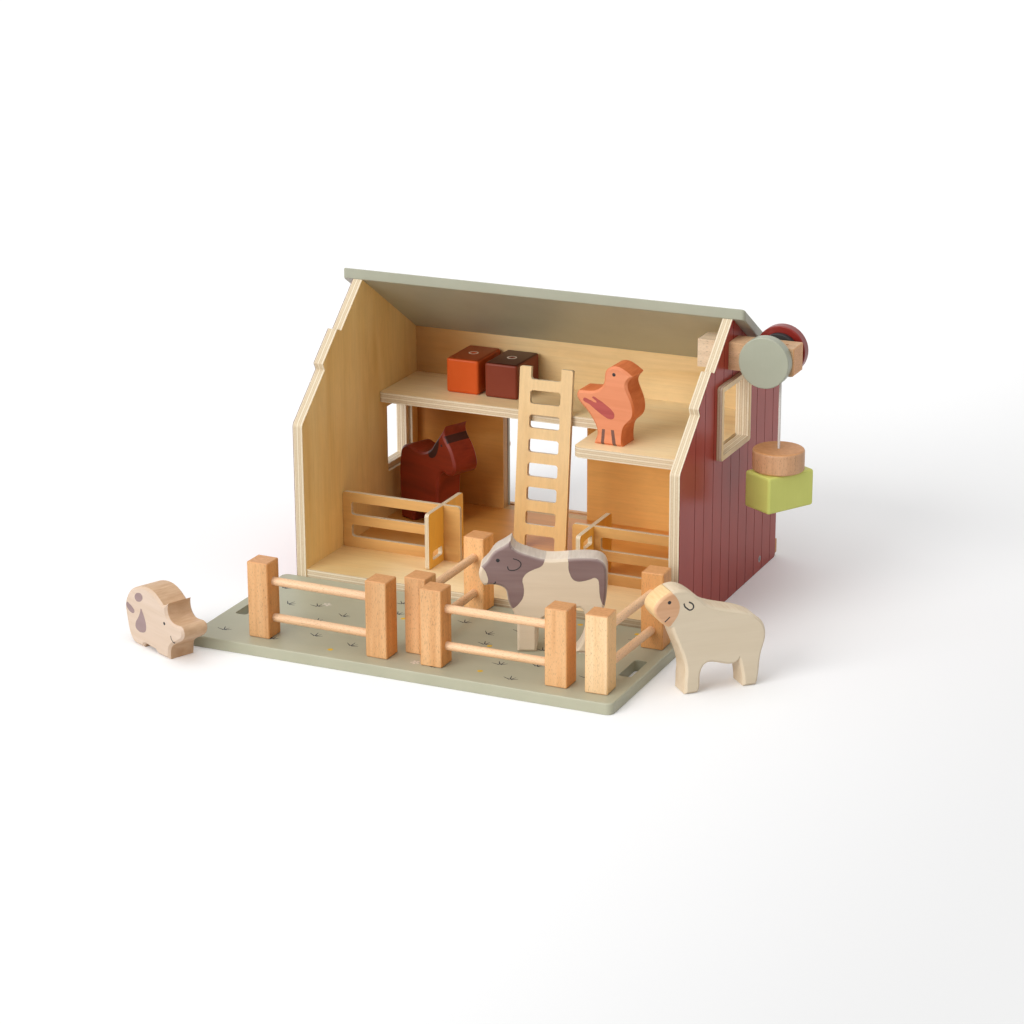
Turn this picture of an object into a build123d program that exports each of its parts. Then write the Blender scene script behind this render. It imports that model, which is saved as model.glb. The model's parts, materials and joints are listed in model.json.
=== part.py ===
"""Toy barn playset: a plywood barn with an open front, a fenced yard plate, a hoist and wooden animals.

Millimetres. +X is to the right, +Y goes from the yard towards the barn's rear doors, +Z is up from the
table. The origin is at table level, on the barn's centre line, under the middle of the yard plate.
"""

import os
from math import atan2, cos, degrees, hypot, radians, sin, tan

from build123d import *

os.makedirs("parts", exist_ok=True)

# ---------------------------------------------------------------- driving dimensions
BARN_WIDTH = 360.0  # over the side walls
WALL = 9.5  # plywood of walls, floor, loft, roof and yard plate
PANEL = 4.0  # thin plywood of stalls, ladder and doors
FRONT = 82.5  # Y of the barn's open front
WALL_DEPTH = 242.0
KNEE_HEIGHT = 148.0
EAVE_HEIGHT = 171.5
RIDGE = (118.2, 250.8)  # behind the front edge, above the table
BACK_WALL_Y = 223.5  # inner face, behind the front edge
FLOOR_TOP = 16.0
LOFT_TOP = 139.7
ROOF_WIDTH = 380.0
ROOF_HEIGHT = 9.5  # plumb thickness of the roof panel
ROOF_OVERHANG = 8.0
DOORWAY = (-82.0, 2.5, 125.0)  # left jamb, right jamb, head
PLATE_SIZE = (381.5, 165.0)
PLATE_CENTRE = (-1.85, -0.3)
POST = 19.4
POST_HEIGHT = 66.0
RAIL_RADIUS = 3.6
AXLE_RADIUS = 6.5
STRING_RADIUS = 1.1
WHEEL_RADIUS = 22.0
RUNNING_GAP = 0.06  # radial clearance of turning wood on wood
BALE = (32.0, 50.0, 32.3)
BALE_EDGE = 2.5
PRESS_FIT = 0.02  # radial room of a wheel, magnet or disc pressed or glued in
GLUE_FIT = 0.03  # radial room of a glued rod or string
SEAT_GAP = 0.1  # let in along the corners of a part that sits in a recess

inner_x = BARN_WIDTH / 2 - WALL
back_face_y = BACK_WALL_Y + WALL
roof_angle = degrees(atan2(RIDGE[1] - EAVE_HEIGHT, WALL_DEPTH - RIDGE[0]))
roof_slope = tan(radians(roof_angle))


def roof_underside(y):
    """Height of the roof panel's underside at a depth behind the front edge."""
    return RIDGE[1] - (y - RIDGE[0]) * roof_slope


# ---------------------------------------------------------------- floor, side walls, back wall
SCREW_DEPTHS = (42.0, 200.0)  # behind the front edge
SCREW_HEIGHT = 10.8
SCREW_HEAD_RADIUS = 3.0
SCREW_SHANK_RADIUS = 1.4
SCREW_LENGTH = 28.0
SCREW_FIT = 0.04
SCREW_SINK = (1.5, 1.4)  # depth of the countersink and of the head in it
SCREW_CROSS = (3.4, 0.8)  # length and width of the head's cross, as deep as wide

screw_places = [(FRONT + depth, SCREW_HEIGHT) for depth in SCREW_DEPTHS]

with BuildPart() as floor_board:
    with BuildSketch(Plane.XY.offset(FLOOR_TOP - WALL)):
        with Locations((0, FRONT + (1 + BACK_WALL_Y) / 2)):
            Rectangle(2 * inner_x, BACK_WALL_Y - 1)
    extrude(amount=WALL)
    for side in (-1, 1):
        with BuildSketch(Plane.YZ.offset(side * inner_x)):
            with Locations(*screw_places):
                Circle(SCREW_SHANK_RADIUS + SCREW_FIT)
        extrude(amount=-side * (SCREW_LENGTH - WALL), mode=Mode.SUBTRACT)
floor_board.part.label = "floor_board"
export_step(floor_board.part, "parts/floor_board.step")

# The front slope of each side wall carries a tab that enters a slot of the yard plate when the plate
# is stored as the front half of the roof.
TAB_START = 58.5  # along the slope from the knee
TAB_END = 97.5
TAB_PROUD = 7.0
TAB_LEAN = (1.5, 3.5)  # how far its lower and upper flank lean
KNEE_ROUND = 6.0
TAB_ROUND = 1.5
REAR_FOOT_ROUND = 4.0
PLANK_PITCH = 21.3
FIRST_PLANK_LINE = 34.5
GROOVE = (0.9, 0.5)  # width and depth of the plank lines

slope_length = hypot(RIDGE[0], RIDGE[1] - KNEE_HEIGHT)
slope_dir = (RIDGE[0] / slope_length, (RIDGE[1] - KNEE_HEIGHT) / slope_length)


def on_slope(along, proud=0.0):
    """Point of the front slope in a side wall's plane (depth, height)."""
    return (
        FRONT + along * slope_dir[0] - proud * slope_dir[1],
        KNEE_HEIGHT + along * slope_dir[1] + proud * slope_dir[0],
    )


# Window openings: centre depth, centre height, opening size over the frame.
WINDOWS = {
    "left": (187.0, 91.5, 51.1, 65.0),
    "right": (119.4, 167.8, 71.7, 65.0),
}
WINDOW_BAND = 4.8
WINDOW_CORNER = 3.0
WINDOW_PROUD = 4.7
WINDOW_DEPTH = 10.5
BEAM = 24.0
BEAM_CENTRE = (121.0, 221.3)  # behind the front edge, above the table
BEAM_ENDS = (152.0, 237.5)

walls = {}
for name, side in (("left", -1), ("right", 1)):
    window_y, window_z, window_w, window_h = WINDOWS[name]
    with BuildPart() as wall:
        with BuildSketch(Plane.YZ.offset(side * BARN_WIDTH / 2)) as profile:
            with BuildLine():
                Polyline(
                    (FRONT, 0),
                    (FRONT + WALL_DEPTH, 0),
                    (FRONT + WALL_DEPTH, EAVE_HEIGHT),
                    (FRONT + RIDGE[0], RIDGE[1]),
                    on_slope(TAB_END + TAB_LEAN[1]),
                    on_slope(TAB_END, TAB_PROUD),
                    on_slope(TAB_START + TAB_LEAN[0], TAB_PROUD),
                    on_slope(TAB_START),
                    (FRONT, KNEE_HEIGHT),
                    (FRONT, 0),
                )
            make_face()
            for corner, radius in (
                ((FRONT + WALL_DEPTH, 0), REAR_FOOT_ROUND),
                ((FRONT, KNEE_HEIGHT), KNEE_ROUND),
                (on_slope(TAB_START + TAB_LEAN[0], TAB_PROUD), TAB_ROUND),
                (on_slope(TAB_END, TAB_PROUD), TAB_ROUND),
            ):
                fillet(profile.vertices().sort_by_distance((*corner, 0))[0], radius=radius)
            with Locations((FRONT + window_y, window_z)):
                RectangleRounded(window_w, window_h, WINDOW_CORNER, mode=Mode.SUBTRACT)
            if side > 0:
                with Locations((FRONT + BEAM_CENTRE[0], BEAM_CENTRE[1])):
                    Rectangle(BEAM, BEAM, mode=Mode.SUBTRACT)
        extrude(amount=-side * WALL)
        with BuildSketch(Plane.YZ.offset(side * BARN_WIDTH / 2)):
            for line in range(10):
                with Locations((FRONT + FIRST_PLANK_LINE + line * PLANK_PITCH, RIDGE[1] / 2)):
                    Rectangle(GROOVE[0], RIDGE[1] + 20)
        extrude(amount=-side * GROOVE[1], mode=Mode.SUBTRACT)
        with BuildSketch(Plane.YZ.offset(side * BARN_WIDTH / 2)):
            with Locations(*screw_places):
                Circle(SCREW_HEAD_RADIUS + SCREW_FIT)
        extrude(amount=-side * SCREW_SINK[0], mode=Mode.SUBTRACT)
        with BuildSketch(Plane.YZ.offset(side * BARN_WIDTH / 2)):
            with Locations(*screw_places):
                Circle(SCREW_SHANK_RADIUS + SCREW_FIT)
        extrude(amount=-side * WALL, mode=Mode.SUBTRACT)
    wall.part.label = f"{name}_wall"
    export_step(wall.part, f"parts/{name}_wall.step")

    with BuildPart() as window_frame:
        with BuildSketch(Plane.YZ.offset(side * (BARN_WIDTH / 2 + WINDOW_PROUD))):
            with Locations((FRONT + window_y, window_z)):
                RectangleRounded(window_w, window_h, WINDOW_CORNER + SEAT_GAP)
                Rectangle(window_w - 2 * WINDOW_BAND, window_h - 2 * WINDOW_BAND, mode=Mode.SUBTRACT)
        extrude(amount=-side * WINDOW_DEPTH)
    window_frame.part.label = f"{name}_window_frame"
    export_step(window_frame.part, f"parts/{name}_window_frame.step")

with BuildPart() as wall_screws:
    for side in (-1, 1):
        with BuildSketch(Plane.YZ.offset(side * BARN_WIDTH / 2)):
            with Locations(*screw_places):
                Circle(SCREW_HEAD_RADIUS)
        extrude(amount=-side * SCREW_SINK[1])
        with BuildSketch(Plane.YZ.offset(side * BARN_WIDTH / 2)):
            with Locations(*screw_places):
                Circle(SCREW_SHANK_RADIUS)
        extrude(amount=-side * (SCREW_LENGTH - 0.5))
        with BuildSketch(Plane.YZ.offset(side * BARN_WIDTH / 2)):
            for place in screw_places:
                with Locations(place):
                    Rectangle(SCREW_CROSS[0], SCREW_CROSS[1])
                    Rectangle(SCREW_CROSS[1], SCREW_CROSS[0])
        extrude(amount=-side * SCREW_CROSS[1], mode=Mode.SUBTRACT)
wall_screws.part.label = "wall_screws"
export_step(wall_screws.part, "parts/wall_screws.step")

with BuildPart() as back_wall:
    with BuildSketch(Plane.YZ.offset(-inner_x)):
        with BuildLine():
            Polyline(
                (FRONT + BACK_WALL_Y, 0),
                (FRONT + back_face_y, 0),
                (FRONT + back_face_y, roof_underside(back_face_y)),
                (FRONT + BACK_WALL_Y, roof_underside(BACK_WALL_Y)),
                close=True,
            )
        make_face()
    extrude(amount=2 * inner_x)
    left_jamb, right_jamb, head = DOORWAY
    with BuildSketch(Plane.XZ.offset(-FRONT - BACK_WALL_Y)):
        with Locations(((left_jamb + right_jamb) / 2, (FLOOR_TOP + head) / 2)):
            Rectangle(right_jamb - left_jamb, head - FLOOR_TOP)
    extrude(amount=-WALL, mode=Mode.SUBTRACT)
    with BuildSketch(Plane.XZ.offset(-FRONT - back_face_y)):
        for line in range(-8, 9):
            with Locations((line * PLANK_PITCH, EAVE_HEIGHT / 2)):
                Rectangle(GROOVE[0], EAVE_HEIGHT + 60)
    extrude(amount=GROOVE[1], mode=Mode.SUBTRACT)
back_wall.part.label = "back_wall"
export_step(back_wall.part, "parts/back_wall.step")

# ---------------------------------------------------------------- roof and loft
roof_end_y = WALL_DEPTH + ROOF_OVERHANG * cos(radians(roof_angle))
roof_square_cut = ROOF_HEIGHT * cos(radians(roof_angle)) * sin(radians(roof_angle))
with BuildPart() as roof_panel:
    with BuildSketch(Plane.YZ.offset(-ROOF_WIDTH / 2)):
        with BuildLine():
            Polyline(
                (FRONT + RIDGE[0], RIDGE[1]),
                (FRONT + roof_end_y, roof_underside(roof_end_y)),
                (
                    FRONT + roof_end_y + roof_square_cut,
                    roof_underside(roof_end_y + roof_square_cut) + ROOF_HEIGHT,
                ),
                (FRONT + RIDGE[0], RIDGE[1] + ROOF_HEIGHT),
                close=True,
            )
        make_face()
    extrude(amount=ROOF_WIDTH)
    ends = roof_panel.faces().sort_by(Axis.X)
    front_corners = ends[0].edges().sort_by(Axis.Y)[0:1] + ends[-1].edges().sort_by(Axis.Y)[0:1]
    rear_corners = ends[0].edges().sort_by(Axis.Y)[-1:] + ends[-1].edges().sort_by(Axis.Y)[-1:]
    fillet(front_corners + rear_corners, radius=3)
    chamfer(roof_panel.faces().filter_by(Axis.X).edges(), length=0.7)
roof_panel.part.label = "roof_panel"
export_step(roof_panel.part, "parts/roof_panel.step")

LOFT_EDGE_Y = 146.0  # front edge of the loft's rear strip
LOFT_WING = (57.0, 62.0)  # left edge and front edge of the loft's right wing
LOFT_CORNER = 8.0
with BuildPart() as loft_shelf:
    with BuildSketch(Plane.XY.offset(LOFT_TOP - WALL)) as loft:
        with BuildLine():
            Polyline(
                (-inner_x, FRONT + BACK_WALL_Y),
                (inner_x, FRONT + BACK_WALL_Y),
                (inner_x, FRONT + LOFT_WING[1]),
                (LOFT_WING[0], FRONT + LOFT_WING[1]),
                (LOFT_WING[0], FRONT + LOFT_EDGE_Y),
                (-inner_x, FRONT + LOFT_EDGE_Y),
                close=True,
            )
        make_face()
        fillet(loft.vertices().filter_by(lambda v: abs(v.X - LOFT_WING[0]) < 0.1), radius=LOFT_CORNER)
        left_front = loft.vertices().filter_by(lambda v: v.X < -inner_x + 1).sort_by(Axis.Y)[0]
        fillet(left_front, radius=3)
    extrude(amount=WALL)
loft_shelf.part.label = "loft_shelf"
export_step(loft_shelf.part, "parts/loft_shelf.step")

# ---------------------------------------------------------------- sliding rear doors
RAIL_DEPTH = 15.0
RAIL_BOTTOM = 3.0
RAIL_HEIGHT = 13.0
TOP_RAIL_BOTTOM = 127.0
GROOVE_Y = 3.0  # from the back wall's outer face to the groove
GROOVE_WIDTH = 4.6
GROOVE_DEEP = 6.0
GROOVE_ENDS = (-128.0, 48.5)
DOOR_WIDTH = 44.5
DOOR_TRAVEL = 42.9
DOOR_GAP = 0.3

doorway_centre = (DOORWAY[0] + DOORWAY[1]) / 2
door_bottom = RAIL_BOTTOM + RAIL_HEIGHT - GROOVE_DEEP + DOOR_GAP
door_top = TOP_RAIL_BOTTOM + GROOVE_DEEP - DOOR_GAP
for name, bottom, groove_bottom in (
    ("door_rail_bottom", RAIL_BOTTOM, RAIL_BOTTOM + RAIL_HEIGHT - GROOVE_DEEP),
    ("door_rail_top", TOP_RAIL_BOTTOM, TOP_RAIL_BOTTOM),
):
    with BuildPart() as rail:
        with BuildSketch(Plane.XY.offset(bottom)):
            with Locations((0, FRONT + (back_face_y + WALL_DEPTH) / 2)):
                Rectangle(2 * inner_x, WALL_DEPTH - back_face_y)
            with Locations((0, FRONT + (back_face_y + RAIL_DEPTH + WALL_DEPTH + 0.2) / 2)):
                Rectangle(BARN_WIDTH, back_face_y + RAIL_DEPTH - WALL_DEPTH - 0.2)
            with Locations((0, FRONT + WALL_DEPTH + 0.1)):
                Rectangle(2 * inner_x, 0.4)
        extrude(amount=RAIL_HEIGHT)
        outer_face = rail.faces().sort_by(Axis.Y)[-1]
        fillet(outer_face.edges(), radius=3)
        with BuildSketch(Plane.XY.offset(groove_bottom)):
            with Locations((sum(GROOVE_ENDS) / 2, FRONT + back_face_y + GROOVE_Y + GROOVE_WIDTH / 2)):
                Rectangle(GROOVE_ENDS[1] - GROOVE_ENDS[0], GROOVE_WIDTH)
        extrude(amount=GROOVE_DEEP, mode=Mode.SUBTRACT)
    rail.part.label = name
    export_step(rail.part, f"parts/{name}.step")

KNOB_RADIUS = 6.5
KNOB_NECK = 0.6 * KNOB_RADIUS
KNOB_LENGTH = 11.0
KNOB_INSET = 13.0  # from the door's middle towards the other door
KNOB_HEIGHT = 72.0
door_face_y = FRONT + back_face_y + GROOVE_Y + (GROOVE_WIDTH + PANEL) / 2
for name, side in (("left", -1), ("right", 1)):
    door_x = doorway_centre + side * (DOOR_TRAVEL + DOOR_WIDTH / 2 + 0.1)
    knob_root = (door_x - side * KNOB_INSET, door_face_y, KNOB_HEIGHT)
    with BuildPart() as door:
        with BuildSketch(Plane.XZ.offset(-door_face_y)):
            with Locations((door_x, (door_bottom + door_top) / 2)):
                Rectangle(DOOR_WIDTH, door_top - door_bottom)
        extrude(amount=PANEL)
        with BuildSketch(Plane.XZ.offset(-door_face_y)):
            for line in (-0.5, 0.5):
                with Locations((door_x + line * DOOR_WIDTH / 2, (door_bottom + door_top) / 2)):
                    Rectangle(GROOVE[0], door_top - door_bottom + 2)
        extrude(amount=GROOVE[1], mode=Mode.SUBTRACT)
    door.part.label = f"door_{name}"
    export_step(door.part, f"parts/door_{name}.step")

    with BuildPart() as knob:
        with BuildSketch(Plane(origin=knob_root, x_dir=(1, 0, 0), z_dir=(0, 0, 1))):
            with BuildLine():
                Polyline((0, KNOB_LENGTH), (0, 0), (KNOB_NECK, 0), (KNOB_NECK, 3))
                Spline((KNOB_NECK, 3), (KNOB_RADIUS, 6.5), (0.7 * KNOB_RADIUS, 10.2), (0, KNOB_LENGTH))
            make_face()
        revolve(axis=Axis(knob_root, (0, 1, 0)))
    knob.part.label = f"door_knob_{name}"
    export_step(knob.part, f"parts/door_knob_{name}.step")

# ---------------------------------------------------------------- hoist
AXLE_X = 214.7
HOIST_Y = FRONT + BEAM_CENTRE[0]
AXLE_Z = BEAM_CENTRE[1]
BEAM_SLOT = (205.0, 225.4, 12.0)  # left end, right end, width
BEAM_SLOT_ROOF = 2.8  # wood left above the slot
STRING_PEG = (227.8, 1.3, 6.0)  # x, radius and depth of the string's hole in the beam's top
GREEN_WHEEL_Y = (-23.0, -12.6)  # from the beam's centre plane
RED_WHEEL_Y = (19.2, 29.4)
SPACER_Y = (12.5, 19.0)
SPACER_RADIUS = 16.5
AXLE_ENTRY = 7.0  # how far the axle enters each wheel

with BuildPart() as hoist_beam:
    with BuildSketch(Plane.YZ.offset(BEAM_ENDS[0])):
        with Locations((HOIST_Y, AXLE_Z)):
            Rectangle(BEAM, BEAM)
    extrude(amount=BEAM_ENDS[1] - BEAM_ENDS[0])
    chamfer(hoist_beam.faces().sort_by(Axis.X)[-1].edges(), length=0.8)
    with BuildSketch(Plane.XY.offset(AXLE_Z - BEAM / 2)):
        with Locations(((BEAM_SLOT[0] + BEAM_SLOT[1]) / 2, HOIST_Y)):
            Rectangle(BEAM_SLOT[1] - BEAM_SLOT[0], BEAM_SLOT[2])
    extrude(amount=BEAM - BEAM_SLOT_ROOF, mode=Mode.SUBTRACT)
    with BuildSketch(Plane.XZ.offset(-HOIST_Y + BEAM / 2)):
        with Locations((AXLE_X, AXLE_Z)):
            Circle(AXLE_RADIUS + RUNNING_GAP)
    extrude(amount=-BEAM, mode=Mode.SUBTRACT)
    with BuildSketch(Plane.XY.offset(AXLE_Z + BEAM / 2)):
        with Locations((STRING_PEG[0], HOIST_Y)):
            Circle(STRING_PEG[1])
    extrude(amount=-STRING_PEG[2], mode=Mode.SUBTRACT)
hoist_beam.part.label = "hoist_beam"
export_step(hoist_beam.part, "parts/hoist_beam.step")

with BuildPart() as hoist_axle:
    with BuildSketch(Plane.XZ.offset(-HOIST_Y - GREEN_WHEEL_Y[1] + AXLE_ENTRY)):
        with Locations((AXLE_X, AXLE_Z)):
            Circle(AXLE_RADIUS)
    extrude(amount=-(RED_WHEEL_Y[0] - GREEN_WHEEL_Y[1] + 2 * AXLE_ENTRY))
hoist_axle.part.label = "hoist_axle"
export_step(hoist_axle.part, "parts/hoist_axle.step")

for name, (near, far), bore_side in (
    ("hoist_wheel_green", GREEN_WHEEL_Y, 1),
    ("hoist_wheel_red", RED_WHEEL_Y, -1),
):
    bore_face = far if bore_side > 0 else near
    with BuildPart() as wheel:
        with BuildSketch(Plane.XZ.offset(-HOIST_Y - near)):
            with Locations((AXLE_X, AXLE_Z)):
                Circle(WHEEL_RADIUS)
        extrude(amount=-(far - near))
        fillet(wheel.edges().filter_by(GeomType.CIRCLE), radius=1)
        with BuildSketch(Plane.XZ.offset(-HOIST_Y - bore_face)):
            with Locations((AXLE_X, AXLE_Z)):
                Circle(AXLE_RADIUS + PRESS_FIT)
        extrude(amount=bore_side * (AXLE_ENTRY + 0.1), mode=Mode.SUBTRACT)
    wheel.part.label = name
    export_step(wheel.part, f"parts/{name}.step")

with BuildPart() as hoist_spacer:
    with BuildSketch(Plane.XZ.offset(-HOIST_Y - SPACER_Y[0])):
        with Locations((AXLE_X, AXLE_Z)):
            Circle(SPACER_RADIUS)
            Circle(AXLE_RADIUS + PRESS_FIT, mode=Mode.SUBTRACT)
    extrude(amount=-(SPACER_Y[1] - SPACER_Y[0]))
hoist_spacer.part.label = "hoist_spacer"
export_step(hoist_spacer.part, "parts/hoist_spacer.step")

HOLDER_RADIUS = 22.3
HOLDER_HEIGHTS = (123.3, 142.0)
HOLDER_ROUND = 2.2
STRING_ENTRY = 8.0  # how far the string enters the holder
MAGNET_RADIUS = 8.0
MAGNET_THICKNESS = 4.0
string_pitch = AXLE_RADIUS + STRING_RADIUS + 0.05
string_x = AXLE_X + string_pitch
string_foot = HOLDER_HEIGHTS[1] - STRING_ENTRY
winding_pitch = 2 * STRING_RADIUS + 0.1

with BuildPart() as hoist_winding:
    for turn in (-2, -1, 1):
        turn_centre = (AXLE_X, HOIST_Y + turn * winding_pitch, AXLE_Z)
        with BuildSketch(Plane(origin=turn_centre, x_dir=(1, 0, 0), z_dir=(0, 0, 1))):
            with Locations((string_pitch, 0)):
                Circle(STRING_RADIUS)
        revolve(axis=Axis((AXLE_X, HOIST_Y, AXLE_Z), (0, 1, 0)))
hoist_winding.part.label = "hoist_winding"
export_step(hoist_winding.part, "parts/hoist_winding.step")

with BuildPart() as hoist_string:
    with BuildSketch(Plane.XY.offset(string_foot)):
        with Locations((string_x, HOIST_Y)):
            Circle(STRING_RADIUS)
    extrude(amount=AXLE_Z - string_foot)
hoist_string.part.label = "hoist_string"
export_step(hoist_string.part, "parts/hoist_string.step")

with BuildPart() as magnet_holder:
    with BuildSketch(Plane.XY.offset(HOLDER_HEIGHTS[0])):
        with Locations((string_x, HOIST_Y)):
            Circle(HOLDER_RADIUS)
    extrude(amount=HOLDER_HEIGHTS[1] - HOLDER_HEIGHTS[0])
    fillet(magnet_holder.edges().filter_by(GeomType.CIRCLE), radius=HOLDER_ROUND)
    with BuildSketch(Plane.XY.offset(string_foot)):
        with Locations((string_x, HOIST_Y)):
            Circle(STRING_RADIUS + GLUE_FIT)
    extrude(amount=2 * STRING_ENTRY, mode=Mode.SUBTRACT)
    with BuildSketch(Plane.XY.offset(HOLDER_HEIGHTS[0])):
        with Locations((string_x, HOIST_Y)):
            Circle(MAGNET_RADIUS + PRESS_FIT)
    extrude(amount=MAGNET_THICKNESS, mode=Mode.SUBTRACT)
magnet_holder.part.label = "magnet_holder"
export_step(magnet_holder.part, "parts/magnet_holder.step")

with BuildPart() as magnet:
    with BuildSketch(Plane.XY.offset(HOLDER_HEIGHTS[0])):
        with Locations((string_x, HOIST_Y)):
            Circle(MAGNET_RADIUS)
    extrude(amount=MAGNET_THICKNESS)
magnet.part.label = "magnet"
export_step(magnet.part, "parts/magnet.step")

# ---------------------------------------------------------------- bales with a steel disc let into the top
DISC_RADIUS = 4.5
DISC_THICKNESS = 2.0
DISC_DIMPLE = (1.5, 0.8)  # radius and depth
# name: centre x, centre depth, top height, turn of the long side from +Y
BALES = {
    "bale_orange": (-98.4, 195.8, LOFT_TOP + BALE[2], 0.0),
    "bale_brown": (-59.6, 195.0, LOFT_TOP + BALE[2], 0.0),
    "bale_green": (223.6, 121.0, HOLDER_HEIGHTS[0], -30.5),
}
for name, (x, y, top, turn) in BALES.items():
    lengthways = (cos(radians(turn)), sin(radians(turn)), 0)
    with BuildPart() as bale:
        with BuildSketch(Plane(origin=(x, FRONT + y, top - BALE[2]), x_dir=lengthways, z_dir=(0, 0, 1))):
            Rectangle(BALE[0], BALE[1])
        extrude(amount=BALE[2])
        fillet(bale.edges(), radius=BALE_EDGE)
        with BuildSketch(Plane(origin=(x, FRONT + y, top), x_dir=lengthways, z_dir=(0, 0, 1))):
            Circle(DISC_RADIUS + PRESS_FIT)
        extrude(amount=-DISC_THICKNESS, mode=Mode.SUBTRACT)
    bale.part.label = name
    export_step(bale.part, f"parts/{name}.step")

    with BuildPart() as disc:
        with BuildSketch(Plane(origin=(x, FRONT + y, top), x_dir=lengthways, z_dir=(0, 0, 1))):
            Circle(DISC_RADIUS)
        extrude(amount=-DISC_THICKNESS)
        with BuildSketch(Plane(origin=(x, FRONT + y, top), x_dir=lengthways, z_dir=(0, 0, 1))):
            Circle(DISC_DIMPLE[0])
        extrude(amount=-DISC_DIMPLE[1], mode=Mode.SUBTRACT)
    disc.part.label = f"{name}_disc"
    export_step(disc.part, f"parts/{name}_disc.step")

# ---------------------------------------------------------------- ladder leaning on the loft's edge
LADDER_TILT = 7.34
LADDER_ROLL = 0.66
LADDER_WIDTH = 51.0
LADDER_ABOVE_LOFT = 41.0  # stile tops above the loft, along the ladder
STILE = 10.9
RUNG_PITCH = 21.8
RUNG = 9.7
TOP_RUNG_FOOT = 20.1  # along the ladder, above the loft
RUNGS = 7
OPEN_END = 30.0  # length cut between the stiles, beyond the first and the last rung

ladder_point = (-3.9, FRONT + LOFT_EDGE_Y - 4.15, LOFT_TOP)  # front face, at loft height
ladder_normal = Vector(0, -cos(radians(LADDER_TILT)), sin(radians(LADDER_TILT)))
ladder_across = Vector(1, 0, 0).rotate(Axis((0, 0, 0), tuple(ladder_normal)), LADDER_ROLL)
ladder_foot = (LOFT_TOP - FLOOR_TOP - 0.9) / cos(radians(LADDER_TILT))
with BuildPart() as ladder:
    with BuildSketch(Plane(origin=ladder_point, x_dir=ladder_across, z_dir=ladder_normal)):
        with Locations((0, (LADDER_ABOVE_LOFT - ladder_foot) / 2)):
            RectangleRounded(LADDER_WIDTH, LADDER_ABOVE_LOFT + ladder_foot, 2)
        gap_width = LADDER_WIDTH - 2 * STILE
        gap = RUNG_PITCH - RUNG
        for rung in range(RUNGS - 1):
            with Locations((0, TOP_RUNG_FOOT - rung * RUNG_PITCH - gap / 2)):
                RectangleRounded(gap_width, gap, 2.5, mode=Mode.SUBTRACT)
        for rung_edge, way in (
            (TOP_RUNG_FOOT + RUNG, 1),
            (TOP_RUNG_FOOT - (RUNGS - 1) * RUNG_PITCH, -1),
        ):
            with Locations((0, rung_edge + way * OPEN_END / 2)):
                RectangleRounded(gap_width, OPEN_END, 2.5, mode=Mode.SUBTRACT)
    extrude(amount=-PANEL)
ladder.part.label = "ladder"
export_step(ladder.part, "parts/ladder.step")

# ---------------------------------------------------------------- stall dividers, halved into each other
STALL_TOP = 67.5
STALL_FACE_Y = 70.0
STALL_END = 53.8  # distance of the long panel's free end from the centre line
CROSS_X = 71.9
CROSS_Y = (40.5, 110.8)
STALL_CORNER = 3.0
LONG_SLOTS = ((26.0, 37.5), (46.5, 58.5))
LONG_SLOT_X = (80.5, 161.5)
CROSS_SLOTS = {"left": (23.0, 31.0), "right": (52.5, 60.5)}
CROSS_SLOT_Y = (48.0, 67.0)
LAP_FIT = 0.1
stall_outer = inner_x - 0.3
lap_height = (FLOOR_TOP + STALL_TOP) / 2

for name, side in (("left", -1), ("right", 1)):
    with BuildPart() as long_panel:
        with BuildSketch(Plane.XZ.offset(-FRONT - STALL_FACE_Y)) as outline:
            with Locations((side * (STALL_END + stall_outer) / 2, lap_height)):
                Rectangle(stall_outer - STALL_END, STALL_TOP - FLOOR_TOP)
            fillet(outline.vertices(), radius=STALL_CORNER)
            for low, high in LONG_SLOTS:
                with Locations((side * sum(LONG_SLOT_X) / 2, (low + high) / 2)):
                    RectangleRounded(LONG_SLOT_X[1] - LONG_SLOT_X[0], high - low, 2.5, mode=Mode.SUBTRACT)
            with Locations((side * CROSS_X, lap_height + STALL_TOP / 2)):
                Rectangle(PANEL + LAP_FIT, STALL_TOP, mode=Mode.SUBTRACT)
        extrude(amount=-PANEL)
    long_panel.part.label = f"stall_{name}_long"
    export_step(long_panel.part, f"parts/stall_{name}_long.step")

    with BuildPart() as cross_panel:
        with BuildSketch(Plane.YZ.offset(side * CROSS_X - PANEL / 2)) as outline:
            with Locations((FRONT + sum(CROSS_Y) / 2, lap_height)):
                Rectangle(CROSS_Y[1] - CROSS_Y[0], STALL_TOP - FLOOR_TOP)
            fillet(outline.vertices(), radius=STALL_CORNER)
            low, high = CROSS_SLOTS[name]
            with Locations((FRONT + sum(CROSS_SLOT_Y) / 2, (low + high) / 2)):
                RectangleRounded(CROSS_SLOT_Y[1] - CROSS_SLOT_Y[0], high - low, 2, mode=Mode.SUBTRACT)
            with Locations((FRONT + STALL_FACE_Y + PANEL / 2, lap_height - STALL_TOP / 2)):
                Rectangle(PANEL + LAP_FIT, STALL_TOP, mode=Mode.SUBTRACT)
        extrude(amount=PANEL)
    cross_panel.part.label = f"stall_{name}_cross"
    export_step(cross_panel.part, f"parts/stall_{name}_cross.step")

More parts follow.
